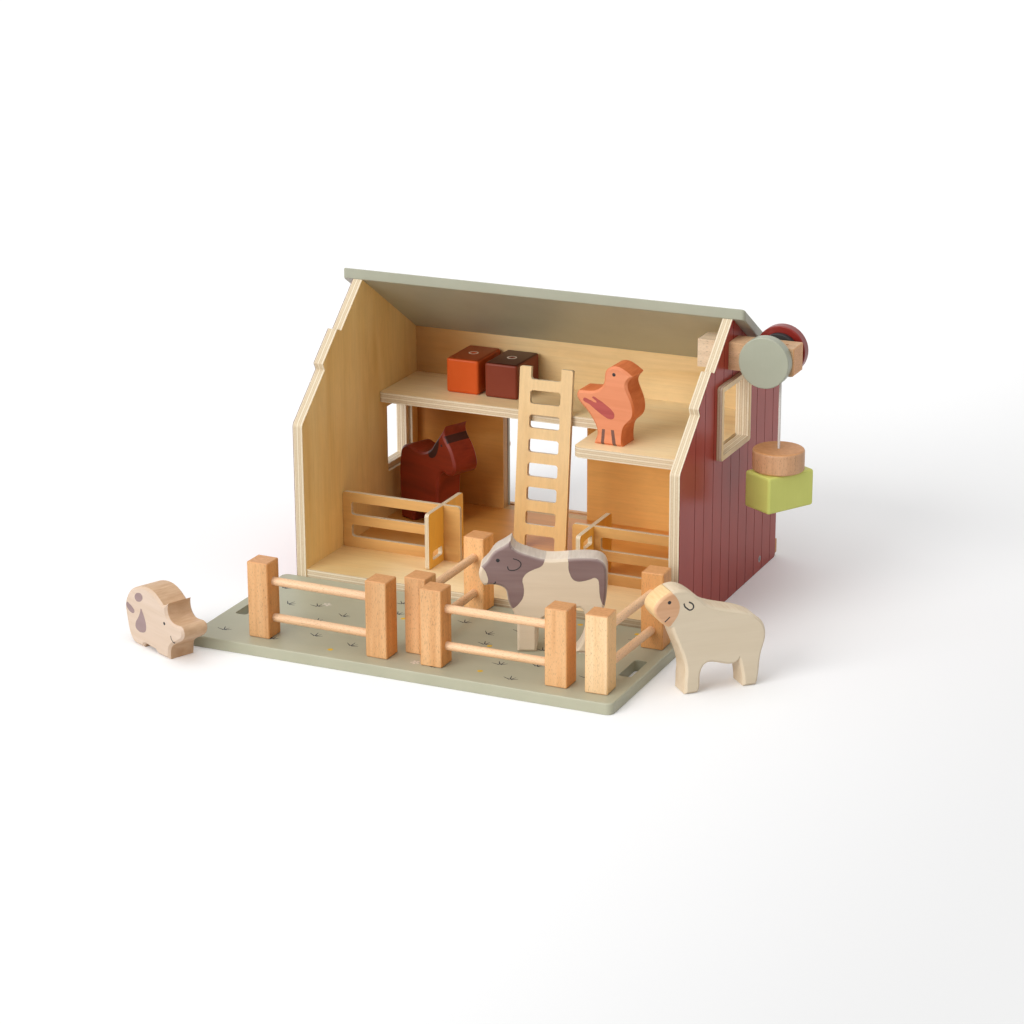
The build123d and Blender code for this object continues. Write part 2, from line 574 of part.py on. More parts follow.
# ---------------------------------------------------------------- yard plate
PLATE_CORNER = 6.0
HANDLE_SLOT = (11.0, 37.0)
HANDLE_SLOT_Y = -5.0
HANDLE_SLOT_X = (-177.0, 175.2)
with BuildPart() as yard_plate:
    with BuildSketch():
        with Locations(PLATE_CENTRE):
            RectangleRounded(*PLATE_SIZE, PLATE_CORNER)
        with Locations(*[(x, HANDLE_SLOT_Y) for x in HANDLE_SLOT_X]):
            RectangleRounded(*HANDLE_SLOT, 3, mode=Mode.SUBTRACT)
    extrude(amount=WALL)
    chamfer(yard_plate.faces().sort_by(Axis.Z)[-1].outer_wire().edges(), length=0.7)
yard_plate.part.label = "yard_plate"
export_step(yard_plate.part, "parts/yard_plate.step")

# ---------------------------------------------------------------- fences: two posts joined by two rods
RAIL_HEIGHTS = (16.5, 48.5)  # above the plate
RAIL_ENTRY = 6.0
# name: the two post centres (x, depth from the barn's front)
FENCES = {
    "fence_a": ((-134.5, -139.1), (-24.3, -141.1)),
    "fence_b": ((1.3, -120.4), (2.1, -10.2)),
    "fence_c": ((24.6, -140.4), (134.4, -140.2)),
    "fence_d": ((168.8, -140.2), (172.6, -32.0)),
}
FENCE_TURN = {"fence_a": -1.03, "fence_b": -2.63, "fence_c": -0.59, "fence_d": 1.27}
for name, ((x0, y0), (x1, y1)) in FENCES.items():
    turn = radians(FENCE_TURN[name])
    square = (cos(turn), sin(turn), 0)
    run = Vector(x1 - x0, y1 - y0, 0)
    with BuildPart() as posts:
        for x, y in ((x0, y0), (x1, y1)):
            with BuildSketch(Plane(origin=(x, FRONT + y, WALL), x_dir=square, z_dir=(0, 0, 1))):
                Rectangle(POST, POST)
            extrude(amount=POST_HEIGHT)
        chamfer(posts.edges(), length=0.8)
        for start, way in (((x0, y0), run), ((x1, y1), -run)):
            hole_start = Vector(start[0], FRONT + start[1], WALL) + way.normalized() * (POST / 2 - RAIL_ENTRY)
            hole_plane = Plane(origin=hole_start, x_dir=(0, 0, 1), z_dir=way)
            with BuildSketch(hole_plane):
                with Locations(*[(height, 0) for height in RAIL_HEIGHTS]):
                    Circle(RAIL_RADIUS + GLUE_FIT)
            extrude(amount=RAIL_ENTRY + 3, mode=Mode.SUBTRACT)
    posts.part.label = f"{name}_posts"
    export_step(posts.part, f"parts/{name}_posts.step")

    with BuildPart() as rails:
        rod_start = Vector(x0, FRONT + y0, WALL) + run.normalized() * (POST / 2 - RAIL_ENTRY)
        rod_plane = Plane(origin=rod_start, x_dir=(0, 0, 1), z_dir=run)
        with BuildSketch(rod_plane):
            with Locations(*[(height, 0) for height in RAIL_HEIGHTS]):
                Circle(RAIL_RADIUS)
        extrude(amount=run.length - POST + 2 * RAIL_ENTRY)
    rails.part.label = f"{name}_rails"
    export_step(rails.part, f"parts/{name}_rails.step")

# ---------------------------------------------------------------- animals sawn from thick board
# Each: the point and the turn of its front face, the height it stands at, its thickness, and its outline
# as strokes. A stroke starts where the last one ended: one point is a straight line, more are a curve.
ANIMAL_EDGE = 2.0
ANIMALS = {
    "cow": (
        (100.8, -81.4), 20.5, WALL, 24.0,
        [
            [(-12.8, 0)],
            [(-12.0, 18), (-10.6, 24.5), (-6.5, 29.3), (3, 33.2), (13, 36.6), (23, 38.8)],
            [(26.8, 34), (27.2, 25), (25.8, 14), (18.6, 0)],
            [(34.8, 0)],
            [(38, 20), (43.8, 44), (45, 66), (43.2, 76.6), (36, 81.4)],
            [(13, 81), (-8, 80.6), (-20, 84), (-30, 88.4), (-33.4, 95.4)],
            [(-39.4, 90.8), (-47.6, 85.2), (-53, 77.2), (-58.2, 71.4), (-59, 64.6), (-54.5, 56.6)],
            [(-42, 56.4), (-38.2, 54.2), (-35.6, 44.6), (-30.9, 33.5), (-28.2, 24)],
            [(-28.1, 0)],
        ],
    ),
    "pig": (
        (-205.0, -194.5), -24.5, 0.0, 26.0,
        [
            [(-21.5, 0)],
            [(-20.5, 2.4), (-11, 2.8), (-3.2, 1.9), (-1.5, 0)],
            [(16.3, 0)],
            [(16.4, 6), (18.4, 11.6), (24.9, 16.3), (32.5, 20.6), (37.2, 25.6), (36.9, 31), (33, 33.6)],
            [(27, 33.0), (20, 34), (15.4, 38.5), (14.4, 43.5), (16.3, 48.9)],
            [(12.5, 46.6), (8.6, 45.4)],
            [(3, 49.6), (-6, 53.8), (-17, 54.3), (-29, 51.3), (-39, 45.4), (-45, 37.5), (-46.6, 27.5)],
            [(-44, 14.5), (-40.2, 5), (-34.5, 0)],
        ],
    ),
    "sheep": (
        (244.5, -83.4), 44.0, 0.0, 22.5,
        [
            [(-15, 0)],
            [(-13.2, 5), (-12.2, 18), (-8.5, 23.6), (3.6, 22.9), (20.5, 22.9)],
            [(23, 14), (24.6, 0)],
            [(36.2, 0)],
            [(38, 9), (40, 27), (43.4, 41), (40.5, 53), (27, 62.8), (4, 69.7), (-9, 74.8)],
            [(-17, 82.3), (-31, 89.6), (-45, 85.6), (-53.6, 75), (-48, 64.7), (-38, 57.8)],
            [(-33, 45), (-27.4, 30.5), (-26, 13)],
            [(-26.2, 0)],
        ],
    ),
    "horse": (
        (-146.0, 157.7), -23.0, FLOOR_TOP, 29.0,
        [
            [(3.2, 0)],
            [(5.6, 10), (10.6, 14.6), (16.4, 11), (18.4, 0)],
            [(36.5, 0)],
            [(37.4, 24), (38.2, 44), (40.5, 53.4), (46, 56.8)],
            [(55, 55.3), (61.4, 61), (60.6, 70), (54.6, 82), (47.6, 91), (48.1, 100.6)],
            [(41, 90.6), (33.5, 81.3), (28, 74.4), (21, 70.6), (8.7, 69.3), (-4, 72.0), (-13.4, 66.5)],
            [(-15.9, 50), (-15.4, 20), (-14.6, 0)],
        ],
    ),
    "chicken": (
        (82.3, 77.0), -2.0, LOFT_TOP, 26.5,
        [
            [(15, 0)],
            [(14.3, 10), (16.4, 17.8), (23, 24.6), (25, 34.3), (21, 47), (18.6, 55.2), (20.2, 59.2)],
            [(23.4, 62.8)],
            [(16.5, 67.4), (7, 70.2), (-1.2, 65.6), (-3.4, 54.2), (-9.6, 47.6), (-19, 45.6), (-26.8, 45.4)],
            [(-28.4, 41.2), (-20.7, 30.2), (-12.2, 19.1), (-9.1, 10.8), (-10.5, 4)],
            [(-11.9, 0)],
        ],
    ),
}


def saw_outline(strokes):
    """Draw a closed outline of straight and curved strokes in the pending line builder."""
    last = strokes[-1][-1]
    for stroke in strokes:
        if len(stroke) == 1:
            Line(last, stroke[0])
        else:
            Spline(last, *stroke)
        last = stroke[-1]


for name, ((x, y), turn, height, thickness, strokes) in ANIMALS.items():
    along = (cos(radians(turn)), sin(radians(turn)), 0)
    outward = (sin(radians(turn)), -cos(radians(turn)), 0)
    with BuildPart() as animal:
        with BuildSketch(Plane(origin=(x, FRONT + y, height), x_dir=along, z_dir=outward)):
            with BuildLine():
                saw_outline(strokes)
            make_face()
        extrude(amount=-thickness)
        faces = animal.faces().sort_by(Axis((0, 0, 0), outward))
        chamfer(faces[0].edges() + faces[-1].edges(), length=ANIMAL_EDGE)
    animal.part.label = name
    export_step(animal.part, f"parts/{name}.step")
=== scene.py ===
import json
import math
import random

import bmesh
import bpy
from mathutils import Matrix, Vector


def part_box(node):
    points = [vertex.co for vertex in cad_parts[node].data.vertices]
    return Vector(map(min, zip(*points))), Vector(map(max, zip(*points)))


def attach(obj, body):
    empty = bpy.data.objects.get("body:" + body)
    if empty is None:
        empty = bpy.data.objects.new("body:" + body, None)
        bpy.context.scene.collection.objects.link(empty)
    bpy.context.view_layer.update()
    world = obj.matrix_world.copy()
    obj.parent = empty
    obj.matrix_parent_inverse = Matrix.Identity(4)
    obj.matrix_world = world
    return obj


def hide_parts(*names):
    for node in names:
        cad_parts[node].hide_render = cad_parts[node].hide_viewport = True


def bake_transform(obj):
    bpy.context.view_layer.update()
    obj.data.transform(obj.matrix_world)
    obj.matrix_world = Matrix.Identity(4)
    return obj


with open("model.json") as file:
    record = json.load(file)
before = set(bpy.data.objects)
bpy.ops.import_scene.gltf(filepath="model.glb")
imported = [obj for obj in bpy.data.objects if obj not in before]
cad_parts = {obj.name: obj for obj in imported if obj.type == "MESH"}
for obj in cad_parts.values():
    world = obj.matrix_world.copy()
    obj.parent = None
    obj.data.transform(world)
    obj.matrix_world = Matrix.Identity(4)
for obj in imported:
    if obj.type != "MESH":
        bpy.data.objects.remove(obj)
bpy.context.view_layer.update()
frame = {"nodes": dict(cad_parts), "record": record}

NODES = frame["nodes"]
BODY_OF = {node: body for body, nodes in frame["record"]["behaviour"]["bodies"].items() for node in nodes}
MM = 0.001


# ------------------------------------------------------------------ shader building
def linear(red, green, blue):
    """A display colour (0 to 255 a channel) as the linear colour that shaders take."""
    def channel(value):
        share = min(255, max(0, value)) / 255
        return share / 12.92 if share <= 0.04045 else ((share + 0.055) / 1.055) ** 2.4
    return (channel(red), channel(green), channel(blue), 1.0)


def grey(value):
    return (value, value, value, 1.0)


class Finish:
    """A material on one Principled shader, with short calls for the nodes that feed it."""

    def __init__(self, name, roughness=0.45, metallic=0.0, specular=0.5):
        self.material = bpy.data.materials.new(name)
        self.material.use_nodes = True
        self.tree = self.material.node_tree
        self.tree.nodes.clear()
        output = self.tree.nodes.new("ShaderNodeOutputMaterial")
        self.shader = self.tree.nodes.new("ShaderNodeBsdfPrincipled")
        self.shader.inputs["Roughness"].default_value = roughness
        self.shader.inputs["Metallic"].default_value = metallic
        self.shader.inputs["Specular IOR Level"].default_value = specular
        self.tree.links.new(self.shader.outputs[0], output.inputs["Surface"])
        self.place = self.tree.nodes.new("ShaderNodeTexCoord")
        self.position = self.place.outputs["Object"]

    def node(self, kind, **settings):
        made = self.tree.nodes.new("ShaderNode" + kind)
        for key, value in settings.items():
            setattr(made, key, value)
        return made

    def feed(self, socket, value):
        if isinstance(value, bpy.types.NodeSocket):
            self.tree.links.new(value, socket)
        else:
            socket.default_value = value

    def stretched(self, scale, turn=0.0, move=0.0):
        """Object coordinates turned about Z, then scaled, for a pattern drawn out one way."""
        mapping = self.node("Mapping", vector_type="TEXTURE")
        self.feed(mapping.inputs["Vector"], self.position)
        mapping.inputs["Scale"].default_value = tuple(1 / factor for factor in scale)
        mapping.inputs["Rotation"].default_value = (0, 0, turn)
        mapping.inputs["Location"].default_value = (-move, -move * 1.7, -move * 2.3)
        return mapping.outputs[0]

    def noise(self, vector, scale=1.0, detail=4.0, roughness=0.5, distortion=0.0):
        made = self.node("TexNoise")
        self.feed(made.inputs["Vector"], vector)
        made.inputs["Scale"].default_value = scale
        made.inputs["Detail"].default_value = detail
        made.inputs["Roughness"].default_value = roughness
        made.inputs["Distortion"].default_value = distortion
        return made.outputs["Fac"]

    def ramp(self, value, *stops):
        made = self.node("ValToRGB")
        self.feed(made.inputs[0], value)
        elements = made.color_ramp.elements
        while len(elements) < len(stops):
            elements.new(0.5)
        for element, (position, shade) in zip(elements, stops):
            element.position = position
            element.color = shade if hasattr(shade, "__len__") else grey(shade)
        return made.outputs[0]

    def maths(self, operation, first, second=0.0):
        made = self.node("Math", operation=operation)
        self.feed(made.inputs[0], first)
        self.feed(made.inputs[1], second)
        return made.outputs[0]

    def mix(self, share, first, second, blend="MIX"):
        made = self.node("Mix", data_type="RGBA", blend_type=blend)
        self.feed(made.inputs[0], share)
        self.feed(made.inputs[6], first)
        self.feed(made.inputs[7], second)
        return made.outputs[2]

    def axis(self, letter):
        made = self.node("SeparateXYZ")
        self.feed(made.inputs[0], self.position)
        return made.outputs["XYZ".index(letter)]

    def between(self, letter, start, end):
        """0 where the coordinate is at start, rising softly to 1 at end."""
        made = self.node("MapRange", interpolation_type="SMOOTHSTEP")
        self.feed(made.inputs["Value"], self.axis(letter))
        made.inputs["From Min"].default_value = start
        made.inputs["From Max"].default_value = end
        return made.outputs["Result"]

    def with_tint_ramps(self, shade, tint_ramps):
        """The colour with tints over it, rising along axes: (axis, start, end, tint) each, some of them
        painted shade.
        """
        for letter, start, end, tint in tint_ramps:
            shade = self.mix(self.between(letter, start, end), shade, tint, "MULTIPLY")
        return shade

    def facing(self, direction):
        """The surface normal's share along a direction, from -1 to 1."""
        made = self.node("VectorMath", operation="DOT_PRODUCT")
        self.feed(made.inputs[0], self.place.outputs["Normal"])
        made.inputs[1].default_value = direction
        return made.outputs["Value"]

    def on_faces(self, direction):
        """1 on the faces square to a direction, on both sides, and 0 on the edges between them."""
        return self.ramp(self.maths("ABSOLUTE", self.facing(direction)), (0.55, 0.0), (0.75, 1.0))

    def colour(self, value):
        self.feed(self.shader.inputs["Base Color"], value)

    def rough(self, value):
        self.feed(self.shader.inputs["Roughness"], value)

    def bump(self, height, strength=0.2, distance=0.3 * MM):
        made = self.node("Bump")
        made.inputs["Strength"].default_value = strength
        made.inputs["Distance"].default_value = distance
        self.feed(made.inputs["Height"], height)
        self.feed(self.shader.inputs["Normal"], made.outputs[0])


AXES = {"X": (1, 0, 0), "Y": (0, 1, 0), "Z": (0, 0, 1)}


def drawn_out(letter, along, across):
    """Mapping scale of a pattern with features of `along` metres one way and `across` metres the others."""
    return tuple(1 / along if axis == letter else 1 / across for axis in "XYZ")


# ------------------------------------------------------------------ timber
def veneer(finish, letter, tones, seed=0.0):
    """Rotary-cut birch: soft cloudy bands, faint growth lines along the grain and fine pores."""
    light, mid, dark = tones
    bands = finish.noise(finish.stretched(drawn_out(letter, 0.30, 0.05), move=seed), 1, 2, 0.45, 1.2)
    lines = finish.noise(finish.stretched(drawn_out(letter, 0.10, 0.0024), move=seed), 1, 4, 0.55, 0.4)
    pores = finish.noise(finish.stretched(drawn_out(letter, 0.008, 0.0005), move=seed), 1, 2, 0.5)
    flame = finish.noise(finish.stretched(drawn_out(letter, 0.04, 0.012), move=seed + 3), 1, 2, 0.5, 2.0)
    broad = finish.ramp(bands, (0.30, dark), (0.50, mid), (0.72, light))
    toned = finish.mix(0.22, broad, finish.ramp(lines, (0.34, 0.72), (0.62, 1.0)), "MULTIPLY")
    toned = finish.mix(0.16, toned, finish.ramp(flame, (0.35, 0.72), (0.65, 1.0)), "MULTIPLY")
    return finish.mix(0.30, toned, finish.ramp(pores, (0.28, 0.72), (0.40, 1.0)), "MULTIPLY"), lines


PLIES = 5
VARNISH = 0.40  # roughness of varnished plywood
PLY_PALE = linear(228, 215, 190)
PLY_TAN = linear(208, 186, 152)
GLUE_LINE = linear(176, 148, 110)
DARK_GLUE = linear(158, 112, 62)
BLED_PAINT = linear(176, 92, 78)
GROOVE_DEPTH = 0.5  # millimetres under the painted face, where a routed plank line ends


def ply_edge(finish, letter, start, thickness, glue_tone):
    """The cut edge of plywood: pale and tan veneers in turn, with thin glue lines between them."""
    depth = finish.maths("DIVIDE", finish.maths("SUBTRACT", finish.axis(letter), start), thickness)
    waver = finish.noise(finish.position, 90, 2, 0.5)
    drift = finish.maths("MULTIPLY", waver, 0.35)
    ply = finish.maths("ADD", finish.maths("MULTIPLY", depth, PLIES), drift)
    within = finish.maths("FRACT", ply)
    cross = finish.maths("FRACT", finish.maths("MULTIPLY", finish.maths("FLOOR", ply), 0.5))
    fibres = finish.noise(finish.position, 900, 2, 0.6)
    pale = finish.mix(finish.ramp(fibres, (0.35, 0.0), (0.70, 0.35)), PLY_PALE, PLY_TAN)
    tan = finish.mix(finish.ramp(fibres, (0.30, 1.0), (0.62, 0.6)), PLY_PALE, PLY_TAN)
    layered = finish.mix(finish.ramp(cross, (0.2, 0.0), (0.3, 1.0)), pale, tan)
    glue = finish.ramp(within, (0.0, 0.8), (0.17, 0.0), (0.83, 0.0), (1.0, 0.8))
    return finish.mix(glue, layered, glue_tone)


# (light, mid, dark) tones of the face veneers
HONEY = (linear(243, 208, 152), linear(238, 197, 138), linear(226, 178, 116))
AMBER = (linear(255, 212, 104), linear(255, 204, 92), linear(248, 188, 74))
STRAW = (linear(246, 218, 168), linear(240, 208, 154), linear(230, 192, 134))
TOAST = (linear(224, 178, 114), linear(216, 168, 102), linear(200, 148, 86))
GOLD = (linear(252, 220, 152), linear(247, 211, 140), linear(235, 194, 120))
WHEAT = (linear(234, 202, 150), linear(228, 194, 141), linear(216, 176, 120))
BLOND = (linear(255, 234, 190), linear(252, 226, 178), linear(244, 212, 160))



def sunk_below(finish, stack, face_at, side):
    """Millimetres under a wall's painted face; side is 1 or -1 as the face looks along the axis."""
    return finish.maths("MULTIPLY", finish.maths("SUBTRACT", finish.axis(stack), face_at), -side / MM)


def plywood(
    name, grain, stack, node, tones=HONEY, seed=0.0, painted=None, bleed=0, tint_ramps=(), specular=0.42,
    glue_tone=GLUE_LINE, tint_ramp_edges=False,
):
    """Varnished plywood whose veneers stack along one axis.

    painted is (side, paint, roughness) of a painted face. bleed, 1 or -1, blots the cut edge on that side
    with its paint. The tints go over the faces, and over the cut edges too when asked; some of them are
    painted shade.
    """
    low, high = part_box(node)
    at = "XYZ".index(stack)
    thickness = high[at] - low[at]
    finish = Finish(name, roughness=VARNISH, specular=specular)
    face, lines = veneer(finish, grain, tones, seed)
    face = finish.with_tint_ramps(face, tint_ramps)
    edge = ply_edge(finish, stack, low[at], thickness, glue_tone)
    if tint_ramp_edges:
        edge = finish.with_tint_ramps(edge, tint_ramps)
    if bleed:
        middle = (low[at] + high[at]) / 2
        outward = finish.maths("MULTIPLY", finish.maths("SUBTRACT", finish.axis(stack), middle), bleed)
        outer_ply = finish.ramp(finish.maths("DIVIDE", outward, thickness), (0.36, 0.0), (0.50, 1.0))
        blot = finish.maths("MULTIPLY", finish.noise(finish.position, 75, 2, 0.5), outer_ply)
        edge = finish.mix(finish.ramp(blot, (0.52, 0.0), (0.62, 0.6)), edge, BLED_PAINT)
    shade = finish.mix(finish.on_faces(AXES[stack]), edge, face)
    if painted:
        side, paint, gloss = painted
        outward = finish.maths("MULTIPLY", finish.facing(AXES[stack]), side)
        outside = finish.ramp(outward, (0.55, 0.0), (0.72, 1.0))
        sunk = sunk_below(finish, stack, high[at] if side > 0 else low[at], side)
        in_groove = finish.ramp(sunk, (GROOVE_DEPTH, 1.0), (GROOVE_DEPTH + 0.01, 0.0))
        outside = finish.maths("MAXIMUM", outside, in_groove)
        shade = finish.mix(outside, shade, paint(finish))
        finish.rough(finish.mix(outside, grey(VARNISH), grey(gloss)))
    finish.colour(shade)
    finish.bump(lines, 0.07, 0.2 * MM)
    return finish.material


BEECH = (linear(238, 190, 138), linear(228, 175, 121), linear(214, 156, 101))
PINK_BEECH = (linear(250, 212, 172), linear(242, 198, 154), linear(230, 180, 134))


def beech(name, letter, seed=0.0, tones=BEECH, flank_shade=None, tint_ramps=()):
    """Steamed beech: straight grained, orange-pink, with short dark flecks; end grain is darker.

    A tint for the sides, given for the fence posts, is painted shade laid over the two faces square to X.
    """
    finish = Finish(name, roughness=0.45, specular=0.4)
    bands = finish.noise(finish.stretched(drawn_out(letter, 0.12, 0.006), move=seed), 1, 3, 0.5, 0.3)
    lines = finish.noise(finish.stretched(drawn_out(letter, 0.03, 0.0010), move=seed), 1, 4, 0.6)
    flecks = finish.noise(finish.stretched(drawn_out(letter, 0.0026, 0.0004), move=seed), 1, 1, 0.4)
    light, mid, dark = tones
    tone = finish.ramp(bands, (0.25, dark), (0.5, mid), (0.78, light))
    tone = finish.mix(0.35, tone, finish.ramp(lines, (0.30, 0.78), (0.65, 1.0)), "MULTIPLY")
    tone = finish.mix(0.70, tone, finish.ramp(flecks, (0.30, 0.50), (0.40, 1.0)), "MULTIPLY")
    rings = finish.noise(finish.stretched((900, 240, 900), turn=seed), 1, 4, 0.6)
    end_grain = finish.ramp(rings, (0.3, linear(196, 135, 82)), (0.7, linear(224, 166, 112)))
    # painted shade over the two faces square to X
    if flank_shade:
        tone = finish.mix(finish.on_faces(AXES["X"]), tone, finish.mix(1.0, tone, flank_shade, "MULTIPLY"))
    stock = finish.ramp(finish.noise(finish.position, 11, 0), (0.38, 0.82), (0.62, 1.0))
    tone = finish.mix(0.6, finish.with_tint_ramps(tone, tint_ramps), stock, "MULTIPLY")
    finish.colour(finish.mix(finish.on_faces(AXES[letter]), tone, end_grain))
    finish.bump(lines, 0.10, 0.2 * MM)
    return finish.material


# ------------------------------------------------------------------ paints and small parts
def paint(name, shade, roughness=0.38, spread=4, letter="Z", specular=0.5, top=1.0):
    """Sprayed paint on wood: nearly even, a little orange peel, faint grain showing through.

    top scales the colour of the upper face, painting light and shade onto it.
    """
    finish = Finish(name, roughness=roughness, specular=specular)
    low, high = linear(*[c - spread for c in shade]), linear(*[c + spread for c in shade])
    cloud = finish.noise(finish.position, 22, 4, 0.6)
    lines = finish.noise(finish.stretched(drawn_out(letter, 0.06, 0.0014)), 1, 4, 0.6)
    peel = finish.noise(finish.position, 700, 2, 0.5)
    tone = finish.ramp(cloud, (0.3, low), (0.7, high))
    # painted light and shade on the upper face
    if top != 1.0:
        upper = finish.ramp(finish.facing(AXES["Z"]), (0.6, 0.0), (0.8, 1.0))
        tone = finish.mix(upper, tone, grey(top), "MULTIPLY")
    finish.colour(finish.mix(0.08, tone, finish.ramp(lines, (0.3, 0.7), (0.65, 1.0)), "MULTIPLY"))
    finish.bump(finish.mix(0.5, lines, peel), 0.08, 0.15 * MM)
    return finish.material


def plank_lines(stack, face_at, side):
    """Gloss dark red whose routed plank lines are near black: painted shade down in the grooves."""
    def red_paint(finish):
        mottle = finish.noise(finish.position, 35, 4, 0.6)
        red = finish.ramp(mottle, (0.3, linear(156, 49, 35)), (0.7, linear(166, 55, 40)))
        # the groove bottoms turn near black: painted shade
        in_groove = finish.ramp(sunk_below(finish, stack, face_at, side), (0.10, 0.0), (0.25, 1.0))
        return finish.mix(in_groove, red, linear(66, 26, 26))
    return red_paint


def hardware(name, shade, roughness, metallic=0.0, grit=900, strength=0.1):
    """Small metal, rubber and cotton parts: a fine even speckle."""
    finish = Finish(name, roughness=roughness, metallic=metallic)
    speckle = finish.noise(finish.position, grit, 3, 0.6)
    dull = linear(*[c * 0.84 for c in shade])
    finish.colour(finish.mix(finish.ramp(speckle, (0.3, 0.0), (0.7, 1.0)), dull, linear(*shade)))
    finish.bump(speckle, strength, 0.1 * MM)
    return finish.material


def sawn_board(name, face, edge, turn, contrast=0.25, seed=0.0, roughness=0.5):
    """A figure's board, grained along its length: (light, dark) tones of its side faces and sawn edges."""
    finish = Finish(name, roughness=roughness, specular=0.35)
    streaks = finish.noise(finish.stretched((14, 160, 160), turn, seed), 1, 3, 0.5, 0.5)
    lines = finish.noise(finish.stretched((30, 800, 800), turn, seed), 1, 5, 0.6)
    sawn = finish.noise(finish.stretched((500, 60, 60), turn, seed), 1, 4, 0.6)
    side = finish.ramp(streaks, (0.3, linear(*face[1])), (0.7, linear(*face[0])))
    side = finish.mix(contrast, side, finish.ramp(lines, (0.32, 0.80), (0.62, 1.0)), "MULTIPLY")
    rim = finish.ramp(sawn, (0.3, linear(*edge[1])), (0.7, linear(*edge[0])))
    outward = (math.sin(turn), -math.cos(turn), 0)
    finish.colour(finish.mix(finish.on_faces(outward), rim, side))
    finish.bump(lines, 0.10, 0.2 * MM)
    return finish.material


# ------------------------------------------------------------------ pieces made from the frame's nodes
def ride_with(piece, node):
    """Link a finished piece; it rides with the node's body."""
    bpy.context.scene.collection.objects.link(piece)
    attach(piece, BODY_OF[node])
    return piece


def shaded(mesh, angle=32):
    """Smooth shading across shallow angles only."""
    mesh.polygons.foreach_set("use_smooth", [True] * len(mesh.polygons))
    mesh.set_sharp_from_angle(angle=math.radians(angle))
    return mesh


def merged_form(node):
    """A copy of a CAD node with its points merged and its flat faces rejoined."""
    form = bmesh.new()
    form.from_mesh(NODES[node].data)
    bmesh.ops.remove_doubles(form, verts=form.verts, dist=0.002 * MM)
    bmesh.ops.dissolve_limit(
        form, angle_limit=math.radians(1.0), verts=form.verts, edges=form.edges, delimit={"NORMAL"}
    )
    return form


def round_edges(form, width, segments, angle, keep=None):
    """Round the edges that turn by more than the angle; keep(edge) names the ones that stay sharp."""
    sharp = [edge for edge in form.edges if len(edge.link_faces) == 2
             and edge.calc_face_angle(0) > math.radians(angle) and not (keep and keep(edge))]
    bmesh.ops.bevel(
        form, geom=sharp, offset=width, offset_type="OFFSET", segments=segments,
        profile=0.5, affect="EDGES", clamp_overlap=True, material=-1,
    )


def piece_from(form, name, material, node):
    mesh = bpy.data.meshes.new(name)
    form.to_mesh(mesh)
    form.free()
    mesh.materials.append(material)
    piece = ride_with(bpy.data.objects.new(name, shaded(mesh)), node)
    flat = piece.modifiers.new("flat_faces", "WEIGHTED_NORMAL")
    flat.keep_sharp = True
    return piece


def eased(node, material, width=0.6 * MM, segments=3, angle=40, keep=None):
    """The node's own shape with rounded edges, in place of the node."""
    form = merged_form(node)
    round_edges(form, width, segments, angle, keep)
    piece = piece_from(form, node + "_eased", material, node)
    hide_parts(node)
    return piece


def finished(node, material):
    """The CAD node as it is, with its material."""
    mesh = NODES[node].data
    mesh.materials.clear()
    mesh.materials.append(material)


# ------------------------------------------------------------------ barn
wall_right_low, wall_right_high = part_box("right_wall")
wall_left_low, wall_left_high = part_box("left_wall")
_, wall_back_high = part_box("back_wall")
shelf_low, shelf_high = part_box("loft_shelf")
floor_low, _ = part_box("floor_board")
GLOSS = 0.30  # roughness of the red paint
WALL_SPECULAR = 0.20
# tints over the wood: axis, where each starts and is full, and the tint. The next five are painted shade:
# below the loft, at the back wall's left end, over the floor's rear and left, and towards the ladder's foot.
UNDER_LOFT_SHADE = ("Z", shelf_high.z, shelf_low.z, (1.0, 0.78, 0.46, 1.0))
BACK_LEFT_SHADE = ("X", -0.05, -0.14, (0.62, 0.44, 0.28, 1.0))
FLOOR_REAR_SHADE = ("Y", floor_low.y + 0.045, floor_low.y + 0.12, (0.84, 0.50, 0.20, 1.0))
FLOOR_LEFT_SHADE = ("X", -0.06, -0.13, (0.80, 0.72, 0.56, 1.0))
LADDER_FOOT_SHADE = ("Z", 0.12, 0.04, (0.90, 0.82, 0.66, 1.0))
BEAM_OUTSIDE = ("X", wall_right_low.x, wall_right_high.x, (0.94, 0.76, 0.60, 1.0))


def plank_groove(edge):
    """An upright edge inside a wall's face: a side of a routed plank line."""
    start, end = (corner.co for corner in edge.verts)
    upright = abs(end.z - start.z) > 30 * MM and (end - start).xy.length < 0.1 * MM
    if wall_left_high.x < start.x < wall_right_low.x:
        return upright and abs(start.y - wall_back_high.y) < 3 * MM
    return upright and wall_right_low.y + 0.5 * MM < start.y < wall_right_high.y - 0.5 * MM


def wall(node, material):
    eased(node, material, 0.25 * MM, 2, keep=plank_groove)


wall("right_wall", plywood(
    "right_wall_ply", "Z", "X", "right_wall", seed=0.3, bleed=1, specular=WALL_SPECULAR,
    painted=(1, plank_lines("X", wall_right_high.x, 1), GLOSS),
))
wall("left_wall", plywood(
    "left_wall_ply", "Z", "X", "left_wall", GOLD, seed=1.1, bleed=-1, specular=WALL_SPECULAR,
    painted=(-1, plank_lines("X", wall_left_low.x, -1), GLOSS),
))
wall("back_wall", plywood(
    "back_wall_ply", "X", "Y", "back_wall", STRAW, seed=2.2, specular=WALL_SPECULAR,
    painted=(1, plank_lines("Y", wall_back_high.y, 1), GLOSS),
    tint_ramps=[UNDER_LOFT_SHADE, BACK_LEFT_SHADE], tint_ramp_edges=True,
))
floor_ply = plywood("floor_ply", "X", "Z", "floor_board", BLOND, seed=3.1, tint_ramps=[FLOOR_REAR_SHADE, FLOOR_LEFT_SHADE])
eased("floor_board", floor_ply, 0.4 * MM, 2)
eased("loft_shelf", plywood("loft_ply", "X", "Z", "loft_shelf", BLOND, seed=4.4), 0.4 * MM, 2)
